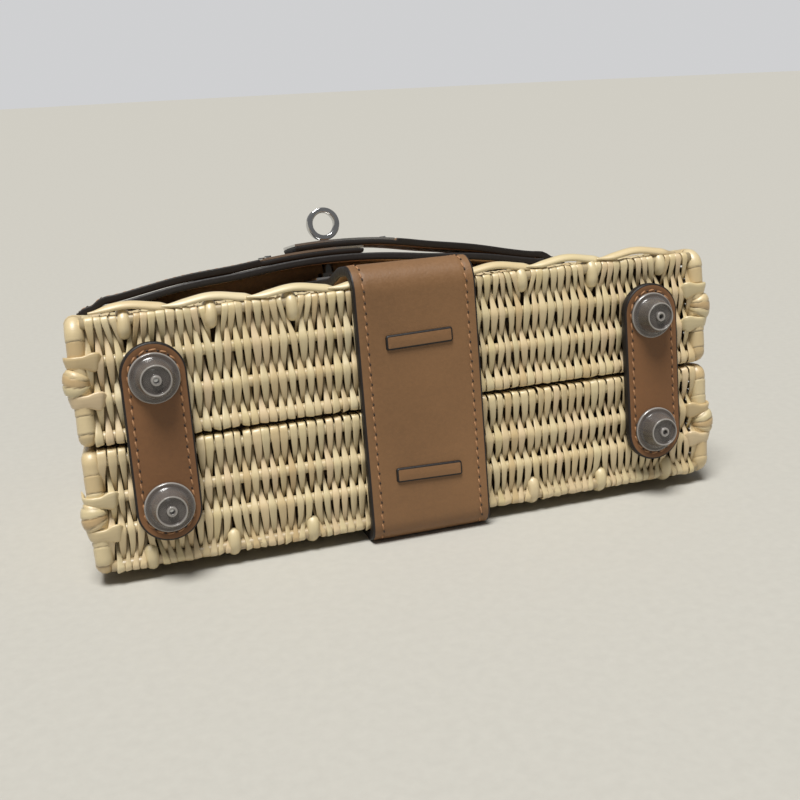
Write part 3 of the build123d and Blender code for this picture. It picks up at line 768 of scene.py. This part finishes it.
for sign, bias, seed in ((1, 0.12, 11), (-1, -0.12, 23)):
    word = endWord(sign)
    trayWeave(word, sign, bias, seed)
    border(word, sign, seed + 1)
    for side in (-1, 1):
        endWeave(word, sign, side, seed + 3 + side)
        endFrame(word, sign, side, seed + 6 + side)
print("trays woven")


# leather

hide = {
    "edgeRound": 0.5, "stitchPitch": 3.0, "stitchLength": 2.1, "stitchRadius": 0.3, "stitchSlant": 0.16,
    "holeRadius": 0.34, "grooveDepth": 0.16,
    "groove": ((0.9, 0.0), (0.4, 0.5), (0.0, 1.0), (-0.4, 0.5), (-0.9, 0.0)),  # off the seam, share of depth
    "endMarks": (0.0, 0.05, 0.2, 0.45, 0.6), "endSquash": (0.35, 0.6, 0.85, 1.0, 1.0),
    "endPaint": (1, 1, 1, 1, 0),
}


def hideSection(halfWidth, thickness, inset, spare):
    # closed outline of a strip, each point (across, up, painted, flesh): flat grain side with a stitch groove
    # by each edge, round painted edges, flesh below
    half = thickness / 2
    bend = min(hide["edgeRound"], half * 0.9)
    edge = [(halfWidth - bend + bend * math.sin(t), half - bend + bend * math.cos(t), 1, 0)
            for t in np.linspace(0, math.pi / 2, 4)]
    under = [(a, -b, 1, 0) for a, b, _, _ in edge[::-1]]
    grooves = []
    if inset:
        for off, dip in hide["groove"]:
            grooves.append((halfWidth - inset - off, half + 0.04 - hide["grooveDepth"] * dip, 0, 0))
    flat = np.linspace(0, halfWidth - (inset + 1.4 if inset else bend + 1.0), spare)
    lip = halfWidth - bend - 0.25
    right = [(a, half + 0.05, 0, 0) for a in flat] + grooves + [(lip, half + 0.01, 0, 0)] + edge + under
    right += [(lip, -half, 0, 1)] + [(a, -half, 0, 1) for a in flat[::-1]]
    left = [(-a, b, p, f) for a, b, p, f in right[::-1]]
    return np.array(right + left[1:-1])


def stitches(parts, centre, along, across, up, rng):
    # each stitch is a short bead that sinks at its ends, and a bead painted nearly black as the shade of a
    # needle hole lies between it and the next
    each = (len(centre), 1)
    along = unit(along + across * (hide["stitchSlant"] + rng.normal(0, 0.03, each)))
    half = hide["stitchLength"] / 2 * (1 + rng.normal(0, 0.05, each))
    side = unit(np.cross(up, along))
    along, side, up = along[:, None], side[:, None], up[:, None]
    cosTurn, sinTurn = np.cos(turns(6))[:, None], np.sin(turns(6))[:, None]
    share = np.array([-1, -0.86, -0.5, 0, 0.5, 0.86, 1.0])
    bead = np.array([0.15, 0.62, 0.95, 1.0, 0.95, 0.62, 0.15]) * hide["stitchRadius"]
    line = centre[:, None] + along * (share * half)[..., None] - up * (0.22 * share ** 4)[:, None]
    ring = side[:, None] * cosTurn + up[:, None] * sinTurn * 0.8
    parts.add(line[:, :, None] + ring * bead[:, None, None], hole=0.0)
    # the hole is a flat bead painted nearly black, as shade
    share = np.array([-1, -0.5, 0.5, 1.0])
    bead = np.array([0.2, 1.0, 1.0, 0.2]) * hide["holeRadius"]
    line = centre[:, None] + along * hide["stitchPitch"] / 2 + up * (share * 0.12 + 0.02)[:, None]
    ring = along[:, None] * cosTurn * 1.25 + side[:, None] * sinTurn * 0.8
    parts.add(line[:, :, None] + ring * bead[:, None, None], hole=1.0)


class Strip:
    # a strip of leather along a path: a point is path + a x width direction + b x normal, and then warped
    def __init__(self, path, widthway, normal, size, warp=None, spare=9):
        self.path, self.normal, self.warp = path, normal, warp
        self.widthway = np.broadcast_to(widthway, path.shape)
        self.reach = pathLength(path)
        self.halfWidth, self.thickness = size["halfWidth"], size["thickness"]
        self.inset, self.spare = size.get("stitchInset"), spare

    def at(self, mark, a, b):
        mark, a, b = np.broadcast_arrays(mark, a, b)
        frames = self.path, self.widthway, self.normal
        path, side, up = (sampled(mark, self.reach, values) for values in frames)
        points = path + side * a[..., None] + up * b[..., None]
        return self.warp(points) if self.warp else points

    def body(self, name, node, step, pared=(0.0, 0.0)):
        # rings crowd by the painted ends, and pared says how long a last part is cut down and how deep
        total = self.reach[-1]
        middle = np.linspace(1.4, total - 1.4, max(2, round((total - 2.8) / step)))
        if pared[0]:
            middle = np.sort(np.concatenate([middle, total - pared[0] + np.array([-0.32, -0.15, 0.02])]))
        ends, squash, paint = (np.array(hide[key]) for key in ("endMarks", "endSquash", "endPaint"))
        marks = np.concatenate([ends, middle, total - ends[::-1]])[:, None]
        thin = np.concatenate([squash, 0 * middle + 1, squash[::-1]])[:, None]
        paint = np.concatenate([paint, 0 * middle, paint[::-1]])[:, None]
        a, b, edge, flesh = hideSection(self.halfWidth, self.thickness, self.inset, self.spare).T
        b = b * thin
        face = np.where(b > 0, b, 0) / (self.thickness / 2)
        b = b - face * pared[1] * smooth((marks - total + pared[0] + 0.3) / 0.3)
        paint = np.maximum(paint, edge)
        parts = Parts()
        parts.add(self.at(marks, a, b), join(a / 20, marks / 20), paint=paint, flesh=flesh)
        settle(parts.make(name, tanLeather), node)

    def seams(self, name, node, seed, start=2.0, end=2.0):
        # a row of stitches down the groove by each edge
        rng = np.random.default_rng(seed)
        parts = Parts()
        marks = np.arange(start, self.reach[-1] - end, hide["stitchPitch"])
        lift = self.thickness / 2 - hide["grooveDepth"] * 0.4
        for side in (-1, 1):
            a = side * (self.halfWidth - self.inset)
            centre = self.at(marks, a, lift)
            along = unit(self.at(marks + 0.3, a, lift) - self.at(marks - 0.3, a, lift))
            across = unit(self.at(marks, a + 0.3, lift) - centre)
            up = unit(self.at(marks, a, lift + 0.3) - centre)
            stitches(parts, centre, along, across, up, rng)
        settle(parts.make(name + "Stitching", thread), node)


def depthNormals(flat, way):
    # normals of a path in depth and height, a quarter turn from its direction
    along = heading(flat)
    return way * inDepth(along[:, 1], -along[:, 0])


def centreBand():
    size = {"halfWidth": 19.0, "thickness": 3.0, "gap": 0.3, "frontTop": 114.0, "drop": 24.0, "crest": 12.0,
            "crestLift": 3.1, "backEnd": 86.7, "stitchInset": 3.1}
    middle = size["gap"] + size["thickness"] / 2
    crest = size["crestLift"] + size["thickness"] / 2
    corners = [(halfDepth(size["frontTop"]) + middle, size["frontTop"]),
               (halfDepth(size["drop"]) + middle, size["drop"]),
               (halfDepth(size["crest"]) + crest, size["crest"]),
               (halfBaseDepth + crest, -middle), (-halfBaseDepth - middle, -middle),
               (-halfDepth(size["backEnd"]) - middle, size["backEnd"])]
    flat = roundedPath(corners, (30, 10, 6, 4), 0.5)
    strip = Strip(inDepth(*flat.T), (1, 0, 0), depthNormals(flat, -1), size)
    strip.body("centreBand", "centre_band", 1.6)
    strip.seams("centreBand", "centre_band", 41)


def pad(parts, place, halfX, halfY, corner, profile, sides):
    # rings of one rounded outline, each (inset, height, painted); both middles are closed
    angle = turns(sides) + math.pi / sides
    inset, height, paint = np.array(profile, float).T[..., None]
    radius = np.maximum(corner - inset, 0.04)
    x, y = (
        np.sign(way) * np.maximum(max(half - corner, 0) - np.maximum(inset - corner, 0), 0) + radius * way
        for half, way in ((halfX, np.cos(angle)), (halfY, np.sin(angle))))
    parts.add(place(x, y, height), join(x / 20, y / 20), paint=paint, flesh=0.0)


def footTab(side):
    size = {"offset": 77.8, "length": 57.0, "width": 18.5, "low": 0.3, "high": 3.1, "stitchInset": 2.2}
    half, low, high, inset = size["width"] / 2, size["low"], size["high"], size["stitchInset"]
    profile = [(half, low, 1), (0.5, low, 1), (0.1, low + 0.2, 1), (0, low + 0.7, 1), (0, high - 0.6, 1),
               (0.12, high - 0.2, 1), (0.45, high, 1), (0.7, high + 0.02, 0), (inset - 0.7, high + 0.04, 0),
               (inset - 0.3, high - 0.06, 0), (inset, high - 0.12, 0), (inset + 0.3, high - 0.06, 0),
               (inset + 0.7, high + 0.04, 0), (inset + 2.5, high + 0.08, 0), (half, high + 0.1, 0)]

    def place(p, q, h):
        return join(side * size["offset"] + p, -h, q)

    parts = Parts()
    pad(parts, place, half, size["length"] / 2, half, profile, 96)
    name, node = sideWord(side) + "FootTab", sideWord(side) + "_foot_tab"
    settle(parts.make(name, tabLeather), node)
    # stitches round the stadium line, measured by length along it
    radius, run = half - inset, size["length"] / 2 - half
    angle = np.linspace(0, math.pi, 40)
    arc = join(radius * np.cos(angle), run + radius * np.sin(angle))
    line = np.concatenate([arc, -arc, arc[:1]])
    reach = pathLength(line)
    number = round(reach[-1] / hide["stitchPitch"])
    marks = (np.arange(number) + 0.5) * reach[-1] / number
    centre, ahead = (place(*sampled(marks + on, reach, line).T, high - 0.04) for on in (0, 0.4))
    along = unit(ahead - centre)
    up = np.broadcast_to([0, -1.0, 0], centre.shape)
    parts = Parts()
    stitches(parts, centre, along, np.cross(up, along), up, np.random.default_rng(51 + side))
    settle(parts.make(name + "Stitching", thread), node)


def bandTie(end):
    # a narrow bar across the band, sagging by a cosine and turned a little
    size = {"length": 21.0, "width": 4.5, "offset": 20.3, "low": 2.9, "high": 4.3, "corner": 0.9,
            "tilt": 0.025}
    half, low, high = size["width"] / 2, size["low"], size["high"]
    profile = [(half, low, 1), (0, low, 1), (0, high - 0.55, 1), (0.12, high - 0.2, 1),
               (0.42, high - 0.03, 1), (0.75, high + 0.01, 0), (1.2, high + 0.06, 0), (half, high + 0.1, 0)]

    def place(p, q, h):
        sag = 0.12 * np.cos(p / size["length"] * 2 * math.pi)
        return join(p, 0.1 - h - sag, end * (size["offset"] + p * size["tilt"]) + q)

    parts = Parts()
    pad(parts, place, size["length"] / 2, half, size["corner"], profile, 48)
    settle(parts.make(endWord(end) + "BandTie", tanLeather), endWord(end) + "_band_tie")


centreBand()
for side in (-1, 1):
    footTab(side)
for end in (-1, 1):
    bandTie(end)
print("base leather laid")


# feet

def lathe(parts, outline, origin, axis, across, sides, closed=False, **values):
    # an outline of (radius, height) points spun about an axis: a closed one goes round, or it has poles
    outline, axis, across = (np.array(value, float) for value in (outline, axis, across))
    angle = turns(sides)[:, None]
    ring = across * np.cos(angle) + np.cross(axis, across) * np.sin(angle)
    points = np.array(origin) + outline[:, None, 1:] * axis + outline[:, None, :1] * ring
    parts.add(points, join(angle[:, 0], outline[:, :1]), closed, **values)


def softened(outline, radius, steps=4):
    # rounds each inner corner of an outline, starting by 0.45 of the shorter side before it at most
    outline = np.array(outline, float)
    t = np.linspace(0, 1, steps)[:, None]
    made = [outline[:1]]
    for before, corner, after in zip(outline, outline[1:], outline[2:]):
        first, second = np.linalg.norm(before - corner), np.linalg.norm(after - corner)
        cut = min(radius, first * 0.45, second * 0.45)
        start, stop = corner + (before - corner) / first * cut, corner + (after - corner) / second * cut
        made.append((1 - t) ** 2 * start + 2 * t * (1 - t) * corner + t ** 2 * stop)
    return np.concatenate(made + [outline[-1:]])


feet = {
    "offset": 77.8, "spread": 18.5, "face": 3.1,
    "stud": ((0.02, 0), (5.4, 0), (5.4, 0.8), (4.6, 0.8), (3.9, 2.4), (3.0, 4.4), (1.6, 4.75), (0.02, 4.8)),
    "cap": ((5.65, 0.02), (7.15, 0.02), (7.2, 0.8), (6.9, 1.15), (6.1, 1.3), (5.6, 1.7), (4.45, 5.6),
            (4.3, 5.95), (4.0, 5.95), (3.75, 5.3), (1.65, 5.2), (1.5, 6.0), (1.3, 6.2), (0.75, 6.2),
            (0.6, 5.0), (3.2, 4.85), (3.5, 4.4), (5.0, 1.15), (5.65, 0.95)),
    # painted highlights on the three turned edges, (radius, height, reach): the flange's, the rim's and the
    # middle nub's
    "rimHighlights": ((7.1, 1.0, 0.3), (4.2, 5.95, 0.34), (1.2, 6.2, 0.42)),
}


def foot(side, end):
    # a metal stud under a clear cap
    origin = (side * feet["offset"], -feet["face"], end * feet["spread"])
    down, across = (0, -1, 0), (1, 0, 0)
    studs, caps = Parts(), Parts()
    lathe(studs, softened(feet["stud"], 0.35), origin, down, across, 48)
    outline = softened(feet["cap"] + feet["cap"][:2], 0.16)[1:-1]
    # painted highlight on the turned rims, a bell curve round each
    rim = sum(np.exp(-(np.hypot(*(outline - spot[:2]).T) / spot[2]) ** 2) for spot in feet["rimHighlights"])
    lathe(caps, outline, origin, down, across, 56, True, rim=np.clip(rim, 0, 1)[:, None])
    node = endWord(end) + "_" + sideWord(side) + "_foot"
    name = endWord(end) + sideWord(side).capitalize() + "Foot"
    settle(studs.make(name, metal, 35), node)
    settle(caps.make(name + "Cap", plastic, 40), node + "_cap")


for side in (-1, 1):
    for end in (1, -1):
        foot(side, end)
print("feet turned")


# flap, straps and loops

flapSize = {
    "halfWidth": 83.0, "low": 84.0,
    "high": 107.0,  # the arch begins to fade here, and is gone by the shoulder
    "shoulder": 119.0, "top": 128.1, "backEdge": 108.0, "rise": 9.3, "reach": 96.0, "seat": 0.5,
    "thickness": 2.6, "bend": 2.8, "stitchInset": 3.1,
}
strapSize = {
    "middle": 97.0, "halfWidth": 10.0, "thickness": 2.6, "stitchInset": 2.4, "backInner": 0.7,
    "lowerSeat": 3.4, "lift": 2.9, "liftStart": 14.0, "liftEnd": 75.0, "corner": 4.0, "settle": 2.5,
    "plate": (38.6, 0.9),  # length under the metal plate, and how deep it is pared
}
loopSize = {"halfWidth": 5.0, "thickness": 2.0, "corner": 1.9}
flapOut = 1 / leanCos


def swell(x):
    # the leather arches off the front face as a squared cosine, highest at the middle, with fuller shoulders
    # (a squared sine from 32 to 82) and its ends pressed down
    far = np.abs(x)
    arch = flapSize["rise"] * np.cos(math.pi * np.clip(x, -95, 95) / (2 * flapSize["reach"])) ** 2
    shoulder = 1.15 * np.sin(math.pi * np.clip((far - 32) / 50, 0, 1)) ** 2
    return arch + shoulder - 0.3 * smooth((far - 70) / 12)


def archWarp(points):
    # the arch fades out between the straps and the top edge, and never touches the top or the back
    x, v, w = np.moveaxis(points, -1, 0)
    share = (v - flapSize["high"]) / (flapSize["shoulder"] - flapSize["high"])
    fade = np.where(v < flapSize["high"], 1.0, 1 - smooth(share * 0.92 + 0.04))
    return join(x, v, w + swell(x) * np.where(w > 0, fade, 0.0))


def flapPiece():
    size = flapSize
    half = size["thickness"] / 2
    front = (size["seat"] + half) * flapOut
    back = bag["backLevel"] - half
    low, top = size["low"], size["top"] - half
    corners = [(halfDepth(low) + front, low), (halfDepth(top) + front, top),
               (-halfDepth(top) - back, top), (-halfDepth(size["backEdge"]) - back, size["backEdge"])]
    flat = roundedPath(corners, (size["bend"], size["bend"]), 0.5)
    strip = Strip(inDepth(*flat.T), (1, 0, 0), depthNormals(flat, 1), size, archWarp, 30)
    strip.body("flap", "flap", 1.8)
    strip.seams("flap", "flap", 61)


def strapPiece(side, end, lifted):
    # back, round the end of the bag, and over the flap to the lock, all at one height
    size = strapSize
    half = size["thickness"] / 2
    v = size["middle"]
    long, deep = halfLength(v), halfDepth(v)
    backGap = size["backInner"] + half
    x = np.linspace(long - 3, -end, 90)
    share = (x - size["liftStart"]) / (size["liftEnd"] - size["liftStart"])
    lift = size["lift"] * (1 - smooth(share)) if lifted else 0.0
    # past the flap's end the strap settles toward the wicker
    settled = size["settle"] * smooth((x - flapSize["halfWidth"] + 0.3) / 5.0)
    depth = deep + (size["lowerSeat"] + half - settled) * flapOut + swell(x) + lift
    corners = [(0.3, -deep - backGap), (long + backGap, -deep - backGap), (long + backGap, depth[0] + 0.2),
               (long - 3, depth[0])]
    begin = roundedPath(corners, (size["corner"] + 1.5, 4.6), 0.6)
    flat = np.concatenate([begin[:-1], join(x, depth)])
    reach = pathLength(flat)
    flat = sampled(np.linspace(0, reach[-1], int(reach[-1] / 0.8)), reach, flat)
    along = heading(flat)
    normal = join(side * along[:, 1], 0.0, -along[:, 0])
    widthway = np.array([0, 1.0, 0]) - wallLean * normal
    path = join(side * flat[:, 0], v, flat[:, 1])
    strip = Strip(path, widthway, normal, size)
    name, node = sideWord(side) + "Strap", sideWord(side) + "_strap"
    strip.body(name, node, 1.4, size["plate"])
    strip.seams(name, node, 71 + side, 3.0, 40.0)


def strapLoop(side):
    size = strapSize
    outer = size["backInner"] + size["thickness"] + 1.3
    reach = size["halfWidth"] + 2.2
    corners = [(0.5, -reach), (outer, -reach), (outer, reach), (0.5, reach)]
    flat = roundedPath(corners, [loopSize["corner"]] * 2, 0.4)
    along = heading(flat)
    v = size["middle"] + flat[:, 1]
    path = join(side * (halfLength(v) + flat[:, 0]), v, 0.0)
    strip = Strip(path, (0, 0, 1), join(side * along[:, 1], -along[:, 0], 0.0), loopSize)
    strip.body(sideWord(side) + "StrapLoop", sideWord(side) + "_strap_loop", 0.7)


flapPiece()
strapPiece(-1, 11.5, False)
strapPiece(1, 14.2, True)
strapLoop(-1)
strapLoop(1)
print("flap and straps laid")


# lock and handle

def turnLock():
    # the ring stands on edge: its outline is spun about the hole, which runs up the bag
    size = {"outer": 6.1, "hole": 4.15, "depth": 3.6, "middle": 97.0, "stem": 1.2, "stemLow": 5.0}
    up, axis = np.array([0, leanSin, leanCos]), np.array([0, leanCos, -leanSin])
    seat = np.array([0, size["middle"], halfDepth(size["middle"])])
    upZ, axisZ = ((lay(seat + way) - lay(seat))[2] / mm for way in (up, -axis))
    half = size["depth"] / 2
    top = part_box("lock_knob")[1].z / mm - size["outer"] * upZ - (half - 0.25) * axisZ
    rise = (top - lay(seat)[2] / mm) / upZ
    outline = [(size["hole"], -half), (size["outer"], -half), (size["outer"], half), (size["hole"], half)]
    ring = softened(outline + outline[:2], 0.55, 6)[1:-1]
    parts = Parts()
    lathe(parts, ring, seat + up * rise, axis, (1, 0, 0), 72, True)
    low, high = size["stemLow"], rise - size["hole"] - 0.9
    stem = [(0.02, low), (size["stem"], low), (size["stem"], high), (0.02, high)]
    lathe(parts, softened(stem, 0.1), seat, up, (1, 0, 0), 24)
    settle(parts.make("lockRing", metal, 35), "lock_knob", "lock_ring")


handleSize = {
    "span": 36.0, "reach": 9.0, "leg": 6.0, "radius": 4.4, "endWidth": 5.5, "endThick": 3.2, "endFrom": 6.8,
    "endTo": 17.0,
    "seamTurn": 0.42,  # of each stitch row, from the inside of the arch
}
tabSize = {"halfWidth": 6.2, "thickness": 2.0, "stitchInset": 1.9, "long": 17.0, "hump": 4.4}


def handleParts():
    # x stays along the bag, u runs from the pivot line down the resting handle, t is square to its flat
    size = handleSize
    span, thick = size["span"], size["radius"]
    hinge = next(joint for joint in frame["joints"] if joint["child"] == "carry_handle")
    pivot = np.array(hinge["pos_m"]) / mm
    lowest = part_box("handle")[0].z / mm
    drop = math.asin((pivot[2] - lowest - thick) / (size["reach"] + size["leg"] + span))
    axes = np.array([(1, 0, 0), (0, math.cos(drop), -math.sin(drop)), (0, math.sin(drop), math.cos(drop))])

    def place(points):
        return (pivot + points @ axes) * mm

    bend = np.linspace(math.pi, 0, 120)
    start = size["reach"] + size["leg"]
    legs = np.linspace(size["endTo"] - 3.5, start, 4)[:-1]
    arch = join(span * np.cos(bend), start + span * np.sin(bend), 0.0)
    left = join(-span, legs, 0.0)
    path = np.concatenate([left, arch, (left * [-1, 1, 1])[::-1]])
    # round leather with a raised seam on the inside of the arch, half a turn from its outside
    angle = turns(28)
    radius = thick * (0.985 + 0.05 * np.exp(-((angle - math.pi) / 0.22) ** 2))
    reach = pathLength(path)
    tube = place(tubeAlong(path, (0, 0, -1), radius, 28))
    parts = Parts()
    parts.add(tube, join(angle, reach[:, None] / 20), paint=0.0, flesh=0.0)
    # flat folded ends round the rings: a squared section that turns round where it meets the tube
    share = np.linspace(0, 1, 14)[:, None]
    u = size["endFrom"] + (size["endTo"] - size["endFrom"]) * share
    rounding = smooth((share - 0.55) / 0.45)
    edge = dome(share / 0.12, 0.15)
    wide, high = (size[key] * (1 - rounding) + (thick - 0.1) * rounding for key in ("endWidth", "endThick"))
    wide, high = wide * (0.8 + 0.2 * edge), high * edge
    power = 0.45 + 0.55 * rounding
    cosTurn, sinTurn = np.cos(turns(32)), np.sin(turns(32))
    across = np.sign(cosTurn) * np.abs(cosTurn) ** power * wide
    above = np.sign(sinTurn) * np.abs(sinTurn) ** power * high
    paint = smooth((np.abs(cosTurn) - 0.86) / 0.1) * (1 - smooth((share - 0.5) / 0.3))
    for side in (-1, 1):
        end = place(join(side * span + across, u, above))
        parts.add(end, join(across / 20, u / 20), paint=paint, flesh=0.0)
    settle(parts.make("handle", tanLeather, placed=True), "handle", "carry_handle")
    # two rows of stitches, one on each side of the raised seam
    parts = Parts()
    rng = np.random.default_rng(81)
    marks = np.arange(6, reach[-1] - 6, hide["stitchPitch"])
    spot = sampled(marks, reach, path)
    ahead = unit(sampled(marks + 0.3, reach, path) - spot)
    inward = unit(np.array([0, start, 0]) - spot)
    inward = unit(inward - ahead * np.sum(inward * ahead, -1, keepdims=True))
    for level in (-size["seamTurn"], size["seamTurn"]):
        up = unit(inward * math.cos(level) + np.array([0, 0, 1.0]) * math.sin(level))
        stitches(parts, spot + up * (thick - 0.02), ahead, np.cross(up, ahead), up, rng)
    parts.points = [place(points) for points in parts.points]
    settle(parts.make("handleStitching", thread, placed=True), "handle", "carry_handle")


def handleTab(side):
    # a strip laid over the top edge, humped over the straight side of the ring
    level = flapSize["top"] + 0.2 + tabSize["thickness"] / 2
    hump, long = level + tabSize["hump"], tabSize["long"]
    corners = [(-long, level), (-3.5, level), (-2.1, hump), (2.1, hump), (3.5, level), (long, level)]
    flat = roundedPath(corners, (1.2, 1.9, 1.9, 1.2), 0.35)
    path = inDepth(*flat.T) + [side * handleSize["span"], 0, 0]
    strip = Strip(path, (1, 0, 0), depthNormals(flat, -1), tabSize)
    name, node = sideWord(side) + "HandleTab", sideWord(side) + "_handle_tab"
    strip.body(name, node, 0.8)
    strip.seams(name, node, 91 + side)


turnLock()
handleParts()
handleTab(-1)
handleTab(1)
print("lock and handle made")


def finishNode(name, material):
    for holder in frame["nodes"][name].material_slots:
        holder.material = material


for name in ("foot_nuts", "flap_rivets", "left_strap_plate", "right_strap_plate", "strap_rivets",
             "lock_plate", "lock_screws", "left_handle_ring", "right_handle_ring", "handle_tab_rivets"):
    finishNode(name, metal)
# painted shade: the lock post gets the darker copy of the metal
finishNode("lock_post", shadedMetal)
finishNode("lining", cloth)
print("hardware finished")


# camera, floor and lights

view = {
    "eye": (-0.1065, -0.3958, 0.1397), "right": (0.94660, -0.31900, -0.04685),
    "down": (-0.13356, -0.25571, -0.95748), "ahead": (0.29346, 0.91261, -0.28466), "lens": 51.2,
}
light = {
    "toward": (-0.16, -0.25, 0.95), "spread": 24, "strength": 4.0, "colour": (1.0, 0.985, 0.96),
    "room": (0.98, 0.985, 1.0, 1),
    "roomShiny": 0.24,  # the room's strength in mirrors, for what it lights, and for what is seen of it
    "roomLit": 0.14, "roomSeen": 0.64, "floorRadius": 6, "floorThick": 0.02,
}


def turned(right, up, back):
    return Matrix(np.stack([right, up, back], -1).tolist()).to_4x4()


def setCamera():
    data = bpy.data.cameras.new("camera")
    data.lens, data.sensor_width = view["lens"], 36.0
    data.clip_start, data.clip_end = 0.01, 50.0
    camera = bpy.data.objects.new("camera", data)
    right, down, ahead = (np.array(view[key]) for key in ("right", "down", "ahead"))
    camera.matrix_world = Matrix.Translation(view["eye"]) @ turned(right, -down, -ahead)
    bpy.context.scene.collection.objects.link(camera)
    bpy.context.scene.camera = camera


def sunLight(name):
    # a wide soft sun: its own z axis points toward where the light comes from
    data = bpy.data.lights.new(name, "SUN")
    data.angle, data.energy, data.color = math.radians(light["spread"]), light["strength"], light["colour"]
    sun = bpy.data.objects.new(name, data)
    back = unit(np.array(light["toward"]))
    side = unit(np.cross((0, 1.0, 0), back))
    sun.matrix_world = turned(side, np.cross(back, side), back)
    bpy.context.scene.collection.objects.link(sun)


def setFloor():
    angle = turns(64)
    edge = join(light["floorRadius"] * np.cos(angle), light["floorRadius"] * np.sin(angle), 0.0)
    parts = Parts()
    parts.add(np.stack([edge - [0, 0, light["floorThick"]], edge]))
    parts.make("floor", floorFinish(), 30, placed=True)


def setRoom():
    world = bpy.data.worlds.new("world")
    world.use_nodes = True
    nodes, links = world.node_tree.nodes, world.node_tree.links
    background = nodes["Background"]
    background.inputs["Color"].default_value = light["room"]
    rays, lit, seen = (nodes.new("ShaderNode" + kind) for kind in ("LightPath", "MapRange", "MapRange"))
    lit.inputs["To Min"].default_value = light["roomShiny"]
    lit.inputs["To Max"].default_value = light["roomLit"]
    seen.inputs["To Max"].default_value = light["roomSeen"]
    links.new(rays.outputs["Is Diffuse Ray"], lit.inputs["Value"])
    links.new(lit.outputs[0], seen.inputs["To Min"])
    links.new(rays.outputs["Is Camera Ray"], seen.inputs["Value"])
    links.new(seen.outputs[0], background.inputs["Strength"])
    bpy.context.scene.world = world


setCamera()
setFloor()
setRoom()
sunLight("key")
bpy.context.scene.view_settings.view_transform = "Standard"
print("stage set")
